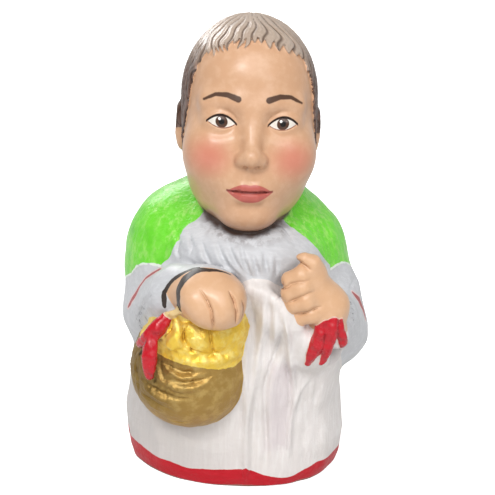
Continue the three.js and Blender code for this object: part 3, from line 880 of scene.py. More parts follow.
def smooth_torn(piece, passes):
    places, outward, gap, growth = feel(piece)
    torn = ((np.abs(gap) > TORN_GAP) | (growth < TORN_SLOPE)) & (places[:, 2] < NECK_HEIGHT)
    open_selected(piece, "VERT", torn)
    for _ in range(2):
        bpy.ops.mesh.select_more()
    bpy.ops.mesh.vertices_smooth(factor=0.5, repeat=passes)
    bpy.ops.object.mode_set(mode="OBJECT")
    print("torn corners smoothed:", int(torn.sum()))


smooth_torn(clay, passes=12)
remesh(clay, VOXEL)
pull(clay, rounds=2, most=0.3)

# %% [markdown]
# ## Painted lines
#
# The two bands on the right wrist and the stripes on the sleeves are drawn with a fine brush. Each
# is a run of points near the clay with the brush's half width at each. The points between are laid
# down on the clay, so that the line follows the form. The skin stays fine where the lines go.

# %% Painted lines
LINE_STEP = 0.6  # millimetres between the points that are laid on the clay
BANDS = [  # points near the two painted bands on the right wrist, each with the band's half width
    [(-3.6, -32.2, 59.0, 0.25), (-5.8, -33.0, 60.2, 0.45), (-8.4, -33.7, 60.4, 0.7),
     (-10.6, -33.5, 60.2, 0.95), (-12.3, -33.9, 59.3, 1.15), (-13.7, -34.5, 58.0, 1.47),
     (-14.5, -35.3, 56.7, 1.47), (-14.9, -35.6, 55.5, 1.47), (-15.0, -36.3, 54.4, 1.47),
     (-15.0, -36.3, 53.0, 1.4), (-15.1, -35.3, 51.4, 1.12), (-15.8, -34.2, 49.8, 0.7)],
    [(-11.1, -32.5, 60.8, 0.5), (-13.7, -32.2, 59.8, 0.6), (-15.9, -31.7, 58.0, 0.7),
     (-17.5, -31.0, 56.3, 0.63), (-18.4, -30.4, 54.2, 0.56), (-18.9, -30.2, 53.1, 0.63),
     (-18.8, -30.6, 51.6, 0.7), (-18.7, -30.7, 49.9, 0.49)],
]
STRIPES = [
    [(-20.2, -18.8, 55.2, 0.2), (-21.6, -16.5, 54.3, 0.4), (-23.5, -15.5, 52.8, 0.5),
     (-25.1, -14.5, 51.4, 0.35), (-26.2, -14.1, 49.8, 0.4), (-27.3, -13.4, 47.7, 0.65),
     (-28.5, -12.9, 45.6, 0.65), (-29.6, -11.8, 43.4, 0.5), (-30.2, -11.2, 42.1, 0.25)],
    [(28.1, -9.4, 48.6, 0.3), (29.1, -8.8, 47.2, 0.7), (29.9, -8.0, 45.9, 0.9), (30.5, -7.8, 44.5, 0.9),
     (31.0, -7.6, 43.2, 0.75), (31.3, -8.0, 41.9, 0.5), (31.4, -8.0, 40.5, 0.25)],
]
PITS = [  # small dark dents in both cuffs
    [(22.3, -25.1, 54.5, 0.2), (23.6, -24.5, 53.2, 0.4), (25.7, -17.7, 48.9, 0.5), (26.1, -19.1, 47.4, 0.5),
     (26.4, -20.1, 45.9, 0.5), (26.5, -20.5, 44.7, 0.3)],
    [(-24.5, -22.9, 46.8, 0.2), (-25.9, -18.8, 43.3, 0.5), (-26.8, -16.1, 40.4, 0.7),
     (-26.4, -16.1, 38.4, 0.5)],
]
SHAWL_HEM = np.array(  # degrees to the figure's left, height
    [[-180, 40], [-140, 41], [-110, 43], [-90, 46.5], [-74, 50.1], [-69, 52.7], [-63, 54.4], [-57, 55.2],
     [-50, 55.6], [50, 54.6], [60, 55.0], [68, 56.0], [74, 56.0], [79, 55.2], [90, 52], [110, 46],
     [140, 41], [180, 40]]
)
BROW = [(3.5, BROW_LINE + 1.0), (6.0, BROW_LINE + 1.9), (8.6, BROW_LINE + 1.9), (11.2, BROW_LINE + 0.7)]


def lowest(*distances):
    return reduce(np.minimum, distances)


def highest(*distances):
    return reduce(np.maximum, distances)


def above_hem(p):
    """For each point: the degrees it is turned to the figure's left, and its height over the shawl's hem."""
    x, y, z = p.T
    turned_by = np.degrees(np.arctan2(x - BACK_SHIFT, -y))
    return turned_by, z - np.interp(turned_by, *SHAWL_HEM.T) - 0.3 * np.sin(np.radians(turned_by) * 9) + 0.15


def laid_on(path):
    """The same line, in short steps that lie on the skin."""
    line = np.array(path, float)
    lengths = np.linalg.norm(np.diff(line[:, :3], axis=0), axis=1)
    counts = np.maximum(np.ceil(lengths / LINE_STEP), 1).astype(int)
    parts = [np.linspace(a, b, count, endpoint=False) for a, b, count in zip(line, line[1:], counts)]
    steps = np.vstack([*parts, line[-1:]])
    steps[:, :3] = settle(steps[:, :3], 5, 1)
    return steps


def ribbon(p, path):
    """How far inside a band that is painted round the form a point is."""
    line = laid_on(path)
    return highest(*(-bar(p, a, b) for a, b in zip(line, line[1:])))


def brow_lines(q):
    """How far inside a brow a point is. Each goes from thick to thin."""
    away, at = along_line(np.abs(q) * (1, 1, 0) + q * (0, 0, 1), BROW)
    return 0.74 - 0.46 * at - away


def fine_lines(p):
    """How far inside the bands, the stripes, the shawl's rim or the features a point is."""
    q = in_head(p)
    lips = 2.6 - np.abs(q[:, 2] - MOUTH_LINE)
    features = highest(eye_opening(q) + 0.4, lowest(lips, MOUTH_HALF_WIDTH - np.abs(q[:, 0])))
    features = lowest(highest(features, brow_lines(q)), -q[:, 1] - 12)
    turned_by, height = above_hem(p)
    rim = lowest(0.5 - np.abs(height), 10 - p[:, 1], np.abs(turned_by) - 45)
    return highest(features, rim, *(ribbon(p, path) for path in BANDS + STRIPES))


print("painted lines:", len(BANDS + STRIPES))

# %% [markdown]
# ## Smaller squares for the face and hands
#
# Eyelids, locks and finger lines need a finer skin. The squares there are selected by their place,
# divided once in edit mode, and pulled again. Then the Decimate modifier merges squares wherever
# the skin is nearly flat, which keeps the whole piece light. A vertex group holds it to the plain
# areas, because a painted line that crosses large triangles comes out with a jagged edge.

# %% Divide the face and hands
FINE_REACH = 0.6  # millimetres
LINE_MARGIN = 0.9  # millimetres beside a painted line that stay as they are
MOST_TRIANGLES = 188_000


def is_fine(p):
    q = in_head(p)
    face_area = (q[:, 1] < -9) & (q[:, 2] > -22) & (q[:, 2] < 24)
    f = forms(p)
    detail = reduce(np.minimum, [f[name] for name in ("right hand", "left hand", "horns", "sack neck")])
    return face_area & (f["head"] < FINE_REACH) | (detail < FINE_REACH)


def divide_fine(piece):
    """Divides the fine area's squares in four."""
    fine = is_fine(corners(piece))
    chosen = [all(fine[i] for i in polygon.vertices) for polygon in piece.data.polygons]
    open_selected(piece, "FACE", chosen)
    bpy.ops.mesh.subdivide(number_cuts=1)
    bpy.ops.object.mode_set(mode="OBJECT")


def triangle_count(piece):
    return sum(len(polygon.vertices) - 2 for polygon in piece.data.polygons)


divide_fine(clay)
pull(clay, rounds=2, most=0.25)
smooth_torn(clay, passes=6)
print("triangles before:", triangle_count(clay))
plain = clay.vertex_groups.new(name="plain")
plain.add(np.nonzero(fine_lines(corners(clay)) < -LINE_MARGIN)[0].tolist(), 1, "REPLACE")
thinner = clay.modifiers.new("thinner", "DECIMATE")
thinner.vertex_group = plain.name
thinner.ratio = min(1, MOST_TRIANGLES / triangle_count(clay))
bpy.ops.object.modifier_apply(modifier=thinner.name)
clay.vertex_groups.clear()
print("triangles after:", triangle_count(clay))
bpy.ops.object.shade_smooth()

# %% [markdown]
# ## Where each paint goes
#
# A painter follows the forms: skin on the hands, grey on the sleeves, red on the horns. So each
# paint gets an attribute on the mesh that tells how far a point is inside its area, in millimetres.
# The material later turns that into a brush edge.

# %% Paint areas
SHAWL_FRONT = {  # on each side: height, degrees from the front
    -1: np.array([[55.7, 49.5], [57.4, 45.5], [59.2, 43.5], [61, 42.3], [64.3, 42.6], [65.6, 41.5],
                  [66.5, 37.2], [72, 30]]),
    1: np.array([[56, 62.5], [57.9, 57.4], [59.5, 53.2], [61.5, 49.5], [64, 45], [67.5, 39], [72, 33]]),
}
HEM_TOP = np.array(  # x, height of the red band's upper edge
    [[-30, 5.8], [-25.7, 6.1], [-22, 5.2], [-17.3, 5.0], [-12.4, 4.4], [-6.8, 5.0], [-0.7, 5.5], [1.2, 5.7],
     [2.0, 6.5], [2.8, 5.5], [6.2, 4.0], [10, 2.9], [13.7, 2.7], [16, 3.6], [20.3, 5.1], [26.8, 4.9]]
)
HEM_SEAM = (-8, 10)  # y, where the front's hem turns into the plain one behind
GOLD_EDGE = np.array(  # x, height of the light gold's lower edge
    [[-27, 39.4], [-19, 38.2], [-15, 37.4], [-11, 36.8], [-5, 35.4], [-1.7, 35.2], [1, 36.6]]
)
CUFF = np.array(  # the line where the right sleeve ends on the wrist: x, y, height
    [[-18.9, -30.6, 53.1], [-18.3, -30.8, 54.9], [-17.2, -31.2, 56.6], [-16.1, -31.6, 57.9],
     [-14.9, -31.9, 58.9], [-13.3, -32.2, 59.7], [-11.1, -32.5, 60.4], [-8.4, -33.0, 60.7],
     [-5.8, -32.8, 60.4], [-4.1, -32.2, 59.8], [-2.5, -30, 60.4]]
)
APRON_PANEL = (6.4, 12.8, 11, 35)  # its left, right, foot and top


def face_paint(q):
    """The painted features, in the head's own frame."""
    across, up = eye_place(q)
    arch = 1 - (across / EYE_HALF_WIDTH) ** 2
    opening = eye_opening(q)
    iris = np.hypot(across, up - 0.15)
    mirrored = np.abs(q)
    mirrored[:, 2] = q[:, 2]
    lip_x = q[:, 0] / MOUTH_HALF_WIDTH
    bow = 1 - 0.17 * np.exp(-((q[:, 0] / 0.9) ** 2))
    lip_top = MOUTH_LINE + 2.0 * (1 - lip_x**2) * bow
    lip_foot = MOUTH_LINE - 2.5 * (1 - lip_x**2)
    between = 0.24 - np.abs(q[:, 2] - MOUTH_LINE + 0.1 - 0.012 * q[:, 0] ** 2)
    from_glint = np.minimum(np.abs(q[:, 0] - EYE_APART + 0.5), np.abs(q[:, 0] + EYE_APART + 0.5))
    glint = np.hypot(from_glint, up - 0.75)
    areas = {
        "eye white": opening + 0.05,
        "iris": lowest(1.4 - iris, opening + 0.05),
        "pupil": lowest(0.68 - iris, opening + 0.05),
        "glint": 0.32 - glint,
        "lashes": lowest(0.3 - np.abs(up - UPPER_LID * arch - 0.05), EYE_HALF_WIDTH + 0.25 - np.abs(across)),
        "lower lashes": lowest(0.12 - np.abs(up - LOWER_LID * arch), EYE_HALF_WIDTH - np.abs(across)),
        "brows": brow_lines(q),
        "lips": lowest(lip_top - q[:, 2], q[:, 2] - lip_foot),
        "between lips": lowest(between, MOUTH_HALF_WIDTH + 0.1 - np.abs(q[:, 0])),
        "cheeks": 5.5 - np.hypot(mirrored[:, 0] - 9.8, (q[:, 2] + 8.0) * 1.1),
    }
    return {name: lowest(inside, -q[:, 1] - 6) for name, inside in areas.items()}


def paint_areas(p):
    f = forms(p)
    q = in_head(p)
    x, y, z = p.T

    def inside(*names):
        return lowest(*(f[name] for name in f if name not in names)) - lowest(*(f[name] for name in names))

    turned_by, shawl_hem = above_hem(p)
    around = np.abs(turned_by)
    front = np.where(turned_by < 0, np.interp(z, *SHAWL_FRONT[-1].T), np.interp(z, *SHAWL_FRONT[1].T))
    shawl_front = np.radians(around - front) * np.hypot(x, y)
    on_cloth = inside("skirt", "shirt", "shawl", "sleeves")
    cloth = lowest(f["shirt"], f["sleeves"], f["shawl"])
    seam = highest(np.abs(f["head"]), np.abs(cloth))
    hem_front, hem_back = np.interp(x, *HEM_TOP.T), 5 + 0.5 * np.sin(0.4 * x)
    hem = hem_front + (hem_back - hem_front) * ease(y, *HEM_SEAM)
    hair_around = np.degrees(np.abs(np.arctan2(q[:, 0], -(q[:, 1] - 2))))
    left, right, foot, top = APRON_PANEL
    right_hand_only = inside("right hand")
    below = np.interp(x, CUFF[:, 0], CUFF[:, 2]) - z
    before = np.interp(x, CUFF[:, 0], CUFF[:, 1]) - y
    cuff = lowest(0.7 * below + 0.6 * before, x + 19.2)
    shirt = highest(lowest(f["skirt"] - cloth, on_cloth + 0.3), lowest(right_hand_only + 0.3, 0.3 - cuff))
    areas = {
        "skin": highest(lowest(right_hand_only, cuff), inside("left hand", "head")),
        "face": inside("head"),
        "hair": lowest(hair_reach(q), 1.5 - f["head"], highest(ears(q) - 0.2, q[:, 2] + 2.6)),
        "hair side": ease(hair_around, 30, 50) * (1 - ease(q[:, 2], 9, 24)),
        "locks": np.abs(np.sin(math.pi * lock_count(q))),
        "neck seam": seam + 5 * ease(np.abs(x + 1), 9, 15),
        "from neck": seam,
        "shawl": lowest(shawl_front, shawl_hem, on_cloth),
        "shawl edge": lowest(shawl_front, on_cloth, 0.28 - np.abs(shawl_hem + 0.1)),
        "shirt": shirt,
        "apron panel": lowest(x - left, right - x, z - foot, top - z, -y),
        # darker towards the apron's left, under the sack: painted shade
        "shade under sack": 1 - ease(x, -14, 8),
        "hem": hem - z,
        "bare": 0.6 + 0.25 * np.sin(0.31 * x + 0.2 * y) - z,
        "sack": inside("bag", "sack neck"),
        "bright gold": z - np.interp(x, *GOLD_EDGE.T),
        "horns": inside("horns"),
        "cords": inside("cords"),
        "bag shade": (1 - ease(x, -24, -9)) * ease(z, 16, 30),
    }
    for area, paths in {"bands": BANDS, "stripes": STRIPES, "pits": PITS}.items():
        areas[area] = highest(*(ribbon(p, path) for path in paths))
    return areas | face_paint(q)


def add_attribute(piece, name, values):
    layer = piece.data.attributes.new(name, "FLOAT", "POINT")
    layer.data.foreach_set("value", values.astype(np.float32))


areas = paint_areas(corners(clay))
for area, inside_by in areas.items():
    add_attribute(clay, area, np.clip(inside_by, -20, 20))
print("paint areas:", ", ".join(areas))

# %% [markdown]
# ## Creases
#
# Paint pools in hollows. Here the hollows are also painted darker as painted shade, and the ridges
# lighter as a painted highlight, and both make a carved thing readable. A point half a millimetre
# above the skin is half a millimetre from the clay, unless walls stand close beside it. The same
# test from below the skin finds the ridges.

# %% Find the creases
def creases(piece, reach):
    """From -1 on a sharp ridge to 1 in a deep crease, felt so many millimetres out of and into the clay."""
    places, outward = corners(piece), read(piece, "normal")
    filled = 1 - figure(places + reach * outward) / reach
    bare = 1 + figure(places - reach * outward) / reach
    return np.clip(filled, 0, 1) - np.clip(bare, 0, 1)


for name, reach in {"crease": 0.5, "hollow": 2.2}.items():
    add_attribute(clay, name, creases(clay, reach))
    print(name, "felt", reach, "mm deep")

# %% [markdown]
# ## Shared effects
#
# Two effects are used by every paint, so each is a node group. "Brush edge" turns a distance into a
# mask with the small wobble of a hand-held brush. "Brushed and shaded paint" mixes three tones of one
# paint: the plain one, a thicker light one in streaks and as a painted highlight on the ridges, and a
# dark one in the creases, which is partly pooled paint and partly painted shade.

# %% Node helpers
class Nodes:
    """Adds nodes to a tree and wires them, with short names for what is used most."""

    def __init__(self, tree):
        self.tree = tree
        self.made = 0

    def add(self, kind, **settings):
        node = self.tree.nodes.new(kind)
        node.location = (220 * (self.made % 14), -240 * (self.made // 14))
        self.made += 1
        for name, value in settings.items():
            setattr(node, name, value)
        return node

    def put(self, socket, value):
        if isinstance(value, bpy.types.NodeSocket):
            self.tree.links.new(value, socket)
        else:
            socket.default_value = value

    def math(self, operation, *values, clamp=False):
        node = self.add("ShaderNodeMath", operation=operation, use_clamp=clamp)
        for socket, value in zip(node.inputs, values):
            self.put(socket, value)
        return node.outputs[0]

    def times(self, *values):
        return self.math("MULTIPLY", *values)

    def plus(self, *values, clamp=False):
        return self.math("ADD", *values, clamp=clamp)

    def minus(self, *values):
        return self.math("SUBTRACT", *values)

    def mix(self, share, under, over):
        return self.mix_value(share, under, over, "RGBA")

    def mix_value(self, share, under, over, kind="FLOAT"):
        node = self.add("ShaderNodeMix", data_type=kind)
        for name, value in (("Factor", share), ("A", under), ("B", over)):
            self.put(node.inputs[name], value)
        return node.outputs["Result"]

    def range(self, value, low, high, to_low=0.0, to_high=1.0):
        node = self.add("ShaderNodeMapRange", interpolation_type="SMOOTHSTEP")
        for socket, number in zip(node.inputs, (value, low, high, to_low, to_high)):
            self.put(socket, number)
        return node.outputs[0]

    def noise(self, size, vector, detail=2.0, roughness=0.5):
        """Noise whose blobs are about so many millimetres wide."""
        node = self.add("ShaderNodeTexNoise")
        self.put(node.inputs["Vector"], vector)
        self.put(node.inputs["Scale"], 1 / size)
        self.put(node.inputs["Detail"], detail)
        self.put(node.inputs["Roughness"], roughness)
        return node.outputs["Fac"]

    def millimetres(self, stretch=(1, 1, 1), turn=(0, 0, 0)):
        """The place on the object, in millimetres, squeezed by the stretch."""
        place = self.add("ShaderNodeTexCoord").outputs["Object"]
        node = self.add("ShaderNodeMapping")
        self.put(node.inputs["Vector"], place)
        node.inputs["Scale"].default_value = [1 / (MM * s) for s in stretch]
        node.inputs["Rotation"].default_value = [math.radians(a) for a in turn]
        return node.outputs["Vector"]

    def attribute(self, name):
        return self.add("ShaderNodeAttribute", attribute_name=name).outputs["Fac"]

    def group(self, tree, **values):
        node = self.add("ShaderNodeGroup", node_tree=tree)
        for name, value in values.items():
            self.put(node.inputs[name.replace("_", " ").capitalize()], value)
        return node.outputs


def new_group(name, inputs, outputs):
    tree = bpy.data.node_groups.new(name, "ShaderNodeTree")
    for label, (kind, value) in inputs.items():
        socket = tree.interface.new_socket(label, in_out="INPUT", socket_type=kind)
        if value is not None:
            socket.default_value = value
    for label, kind in outputs.items():
        tree.interface.new_socket(label, in_out="OUTPUT", socket_type=kind)
    nodes = Nodes(tree)
    return tree, nodes, nodes.add("NodeGroupInput").outputs, nodes.add("NodeGroupOutput").inputs


def paint(red, green, blue):
    """A paint's colour, given on a 0 to 255 scale, in the linear values that nodes use."""
    def linear(value):
        share = value / 255
        return share / 12.92 if share <= 0.04045 else ((share + 0.055) / 1.055) ** 2.4

    return (linear(red), linear(green), linear(blue), 1)


FLOAT, COLOUR = "NodeSocketFloat", "NodeSocketColor"

# %% Brush edge
brush_edge, nodes, given, out = new_group(
    "brush edge",
    {"Inside": (FLOAT, 0.0), "Wobble": (FLOAT, 0.25), "Softness": (FLOAT, 0.08)},
    {"Mask": FLOAT},
)
ragged = nodes.noise(1.6, nodes.millimetres(), detail=3, roughness=0.6)
both_ways = nodes.times(given["Wobble"], 2.0)
shift = nodes.times(nodes.minus(ragged, 0.5), both_ways)
moved = nodes.plus(given["Inside"], shift)
outer = nodes.times(given["Softness"], -1.0)
nodes.put(out["Mask"], nodes.range(moved, outer, given["Softness"]))

# %% Brushed paint
brushed_and_shaded_paint, nodes, given, out = new_group(
    "brushed and shaded paint",
    {
        "Plain": (COLOUR, None),
        "Light": (COLOUR, None),
        "Deep": (COLOUR, None),
        "Streaks": (FLOAT, 0.5),
        "Crease": (FLOAT, 0.0),
        "Streak share": (FLOAT, 0.5),
        "Pooling": (FLOAT, 0.8),
    },
    {"Colour": COLOUR},
)
# Streaks of thicker paint in the light tone, and a painted highlight in that tone on the ridges.
lit = nodes.times(nodes.range(given["Streaks"], 0.42, 0.68), given["Streak share"])
ridge = nodes.range(given["Crease"], -0.15, -0.9, 0.0, 0.35)
light_share = nodes.plus(lit, ridge, clamp=True)
# The deep tone in the creases is partly pooled paint and partly painted shade.
deep_share = nodes.times(nodes.range(given["Crease"], 0.1, 0.85), given["Pooling"])
lighter = nodes.mix(light_share, given["Plain"], given["Light"])
nodes.put(out["Colour"], nodes.mix(deep_share, lighter, given["Deep"]))
print("node groups:", brush_edge.name, "and", brushed_and_shaded_paint.name)

# %% [markdown]
# ## The painted clay
#
# One material covers the whole casting, built up in the painter's order: bare clay first, then the
# white of the apron, then each colour over it. Colour, roughness, metal and gloss go up through the
# same masks. The bump has brush marks that follow the cloth, fine grain, pinholes in the clay, and
# soft knobs on the horns, the sack and the cuffs.

# %% Brush marks and coats
material = bpy.data.materials.new("painted terracotta")
material.use_nodes = True
tree = material.node_tree
tree.nodes.clear()
coat = Nodes(tree)

# Every paint below is darker in the creases and hollows, as painted shade, and lighter on the ridges, as a
# painted highlight.
hollow = coat.range(coat.attribute("hollow"), 0.1, 0.9)
crease = coat.plus(coat.attribute("crease"), coat.times(hollow, 0.22))
down = coat.noise(0.9, coat.millimetres(stretch=(1, 1, 9)), detail=3, roughness=0.6)
cross = coat.noise(1.0, coat.millimetres(stretch=(5, 1, 1), turn=(0, 35, 0)), detail=3, roughness=0.6)
patches = coat.noise(8, coat.millimetres(), detail=2)
mottle = coat.noise(2.4, coat.millimetres(), detail=4, roughness=0.6)


def toned(plain, light, deep, streaks, share, pooling):
    """One paint, from its three tones, the brush marks it was laid on with, painted shade in its creases and
    a painted highlight on its ridges.
    """
    tones = {"plain": paint(*plain), "light": paint(*light), "deep": paint(*deep)}
    return coat.group(
        brushed_and_shaded_paint, **tones, streaks=streaks, crease=crease, streak_share=share, pooling=pooling
    )["Colour"]


class Coats:
    """Colour, roughness, metal and gloss so far. Each new paint covers them where its mask says."""

    def __init__(self, colour, roughness):
        self.colour, self.roughness, self.metal, self.gloss = colour, roughness, 0.0, 0.0

    def cover(self, mask, colour, roughness, metal=0.0, gloss=0.0):
        self.colour = coat.mix(mask, self.colour, colour)
        self.roughness = coat.mix_value(mask, self.roughness, roughness)
        self.metal = coat.mix_value(mask, self.metal, metal)
        self.gloss = coat.mix_value(mask, self.gloss, gloss)


def brushed(inside, wobble=0.2, softness=0.08):
    """The mask of all that is inside, with a brush's edge."""
    return coat.group(brush_edge, inside=inside, wobble=wobble, softness=softness)["Mask"]


def edge(area, wobble=0.2, softness=0.08):
    return brushed(coat.attribute(area), wobble, softness)


# %% Clay, apron, shirt and shawl
coats = Coats(toned((128, 78, 58), (160, 106, 82), (70, 42, 34), mottle, 0.5, 0.6), roughness=0.75)

above_foot = coat.minus(1.0, edge("bare", 0.2, 0.12))
white = toned((222, 216, 213), (243, 241, 239), (188, 181, 181), down, 0.35, 0.5)
patchy_and_shaded_white = coat.mix(coat.range(patches, 0.45, 0.7, 0.0, 0.5), white, paint(214, 209, 204))
# The apron's left side, under the sack, is painted darker grey: painted shade.
patchy_and_shaded_white = coat.mix(coat.times(coat.attribute("shade under sack"), 0.6), patchy_and_shaded_white, paint(188, 182, 178))
panel = coat.range(coat.attribute("apron panel"), -1.4, 2.2, 0.0, 0.8)
apron = coat.mix(panel, patchy_and_shaded_white, toned((210, 200, 201), (225, 217, 217), (162, 150, 153), down, 0.35, 0.7))
coats.cover(above_foot, apron, 0.45, gloss=0.12)

grey = toned((196, 197, 200), (220, 221, 224), (112, 112, 120), cross, 0.35, 0.9)
coats.cover(edge("shirt", 0.15), grey, 0.42, gloss=0.15)

dents = coat.math("GREATER_THAN", coat.noise(0.8, coat.millimetres(), detail=1), 0.54)
pits = coat.times(coat.range(coat.attribute("pits"), -0.9, 0.4, 0.0, 0.7), dents)
coats.cover(coat.times(pits, edge("shirt", 0.15)), paint(112, 112, 118), 0.5)

seam = coat.attribute("neck seam")
# The shirt is painted a darker grey in patches close to the chin.
darker_by_chin = coat.times(coat.range(seam, 5.5, 1.0, 0.0, 0.7), coat.range(mottle, 0.44, 0.6))
coats.cover(coat.times(darker_by_chin, edge("shirt", 0.15)), paint(124, 116, 116), 0.42)

leaf_green = toned((108, 214, 46), (146, 232, 84), (50, 136, 24), mottle, 0.35, 0.9)
# Near the neck the green is painted lighter in streaks: partly scratches in the paint, partly painted sheen.
scratch_and_sheen_streaks = coat.noise(1.7, coat.millimetres(stretch=(1, 1, 2.4), turn=(0, 50, 0)), detail=5, roughness=0.7)
near_neck = coat.range(coat.attribute("from neck"), 27, 3)
dry_brush_and_sheen = coat.times(near_neck, coat.range(scratch_and_sheen_streaks, 0.46, 0.66))
scuffed_and_sheened_green = coat.mix(coat.times(dry_brush_and_sheen, 0.55), leaf_green, paint(190, 232, 134))
blotches = coat.times(coat.range(patches, 0.5, 0.36), coat.minus(1.0, near_neck))
scuffed_and_sheened_green = coat.mix(coat.times(blotches, 0.5), scuffed_and_sheened_green, paint(72, 178, 26))
coats.cover(edge("shawl", 0.3), scuffed_and_sheened_green, 0.34, gloss=0.3)
# A pale line along the shawl's hem: partly a painted edge, partly a painted highlight where the edge catches
# light.
coats.cover(edge("shawl edge", 0.3), paint(226, 232, 222), 0.4, gloss=0.2)

red = toned((184, 6, 28), (200, 26, 44), (118, 4, 20), cross, 0.35, 0.6)
coats.cover(coat.times(edge("hem", 0.2), above_foot), red, 0.38, gloss=0.1)
around_stripes = coat.plus(coat.attribute("stripes"), 0.35)
halo = brushed(around_stripes, 0.15, 0.2)
coats.cover(coat.times(halo, 0.8), paint(226, 196, 194), 0.4)
coats.cover(edge("stripes", 0.1, 0.12), paint(172, 92, 92), 0.4)

# %% Gold, skin, bands and horns
# Both golds are paler on the ridges and in mottled patches, partly as painted highlights, and darker in the
# creases, partly as painted shade. The bag's upper left is painted darker as painted shade.
old_gold = toned((173, 139, 76), (236, 208, 136), (50, 38, 16), mottle, 0.3, 1.1)
bright_gold = toned((240, 202, 78), (255, 242, 160), (160, 106, 28), mottle, 0.5, 1.0)
is_bright = edge("bright gold", 0.3)
old_gold = coat.mix(coat.times(coat.attribute("bag shade"), 0.5), old_gold, paint(86, 66, 28))
gold = coat.mix(is_bright, old_gold, bright_gold)
gold_metal = coat.mix_value(is_bright, 0.7, 0.4)
coats.cover(edge("sack", 0.1), gold, coat.mix_value(is_bright, 0.44, 0.36), metal=gold_metal)

hand_skin = toned((216, 172, 134), (228, 190, 156), (136, 86, 56), mottle, 0.3, 0.95)
face_skin = toned((208, 163, 128), (224, 186, 154), (152, 100, 70), mottle, 0.35, 0.7)
is_face = edge("face", 0.0)
skin = coat.mix(is_face, hand_skin, face_skin)
shaded = coat.mix(coat.range(seam, 7, 0.5, 0.0, 0.55), skin, paint(128, 80, 58))
coats.cover(edge("skin", 0.08, 0.05), coat.mix(is_face, skin, shaded), 0.36, gloss=0.35)
blush = coat.range(coat.attribute("cheeks"), -2.0, 5.0, 0.0, 0.6)
coats.cover(coat.times(blush, is_face), paint(206, 104, 92), 0.36, gloss=0.35)
coats.cover(edge("bands", 0.25, 0.08), paint(56, 46, 42), 0.4, gloss=0.2)
horn_red = toned((188, 4, 28), (204, 22, 42), (112, 4, 18), mottle, 0.2, 0.8)
coats.cover(edge("cords", 0.15, 0.08), paint(226, 196, 140), 0.4, gloss=0.2)
coats.cover(edge("horns", 0.1, 0.12), paint(240, 202, 184), 0.3, gloss=0.3)
within_horns = coat.minus(coat.attribute("horns"), 0.16)
coats.cover(brushed(within_horns, 0.12, 0.1), horn_red, 0.22, gloss=0.6)

# %% Hair and features
DARK_TOP, DARK_SIDE = (104, 84, 70), (46, 32, 26)
FEATURES = {  # area: wobble and softness of its edge, colour, roughness, gloss
    "lips": (0.05, 0.15, (186, 96, 86), 0.36, 0.35),
    "between lips": (0.03, 0.16, (128, 58, 52), 0.4, 0.0),
    "eye white": (0.02, 0.05, (232, 226, 216), 0.28, 0.4),
    "iris": (0.02, 0.06, (78, 50, 34), 0.25, 0.5),
    "pupil": (0.02, 0.05, (20, 14, 12), 0.22, 0.5),
    "glint": (0.0, 0.05, (250, 248, 244), 0.25, 0.0),
    "lashes": (0.03, 0.06, (48, 32, 26), 0.35, 0.0),
    "lower lashes": (0.02, 0.06, (140, 88, 64), 0.4, 0.0),
    "brows": (0.12, 0.15, (84, 60, 46), 0.4, 0.0),
}

locks = coat.attribute("locks")
# The grooves between the locks are painted darker as painted shade, and the side hair carries pale streaks
# as painted highlights.
top_hair = toned((180, 160, 143), (200, 182, 166), DARK_TOP, down, 0.4, 0.8)
top_hair = coat.mix(coat.range(locks, 0.05, 0.6, 0.9, 0.0), top_hair, paint(*DARK_TOP))
side_hair = toned((86, 62, 50), (176, 148, 138), (42, 28, 22), down, 0.35, 0.9)
side_hair = coat.mix(coat.range(locks, 0.04, 0.45, 0.9, 0.0), side_hair, paint(*DARK_SIDE))
hair_colour = coat.mix(coat.attribute("hair side"), top_hair, side_hair)
coats.cover(edge("hair", 0.1, 0.1), hair_colour, 0.36, gloss=0.3)

# A ragged dark brown band where the chin meets the cloth: painted shadow in the seam under the chin.
uneven_chin_shadow = coat.math("MULTIPLY_ADD", coat.minus(patches, 0.5), 4.0, seam)
within_chin_shadow = coat.minus(1.1, uneven_chin_shadow)
coats.cover(brushed(within_chin_shadow, 0.5, 0.8), paint(78, 60, 52), 0.34, gloss=0.35)
for area, (wobble, softness, colour, roughness, gloss) in FEATURES.items():
    coats.cover(edge(area, wobble, softness), paint(*colour), roughness, gloss=gloss)

# %% Relief of the paint
def uneven(texture, millimetres):
    """Bumps of about that height, up and down."""
    return coat.times(coat.minus(texture, 0.5), millimetres)


def total(*heights):
    return reduce(coat.plus, heights)


cells = coat.add("ShaderNodeTexVoronoi", feature="F1")
coat.put(cells.inputs["Vector"], coat.millimetres())
coat.put(cells.inputs["Scale"], 1 / 4.2)
pinholes = coat.range(cells.outputs["Distance"], 0.01, 0.05, -0.06, 0.0)
grain = coat.noise(0.35, coat.millimetres(), detail=2)
grainy = coat.mix_value(edge("sack"), 0.02, 0.06)
slack = coat.math("MAXIMUM", coat.attribute("bag shade"), coat.times(is_bright, 0.8))
wrinkles = coat.times(edge("sack"), slack)
is_skin = edge("skin")
rough_neck = coat.plus(1.0, coat.times(near_neck, 2.0))
cloth_marks = coat.mix_value(is_skin, coat.mix_value(edge("shawl"), 1.0, rough_neck), 0.25)
brush_marks = total(uneven(down, 0.08), uneven(cross, 0.1), uneven(mottle, 0.14))
leathery = coat.times(wrinkles, uneven(mottle, 0.4))
knobs = coat.times(edge("horns"), uneven(coat.noise(2.0, coat.millimetres(), detail=0.0), 1.1))
near_pits = coat.times(coat.range(coat.attribute("pits"), -3.5, 0.0), edge("shirt"))
cuff_knobs = coat.times(near_pits, uneven(coat.noise(1.1, coat.millimetres(), detail=1.0), 0.5))
marks = coat.times(total(brush_marks, pinholes), cloth_marks)
height = total(marks, uneven(grain, grainy), leathery, knobs, cuff_knobs)
bump = coat.add("ShaderNodeBump")
bump.inputs["Distance"].default_value = MM
bump.inputs["Strength"].default_value = 1.0
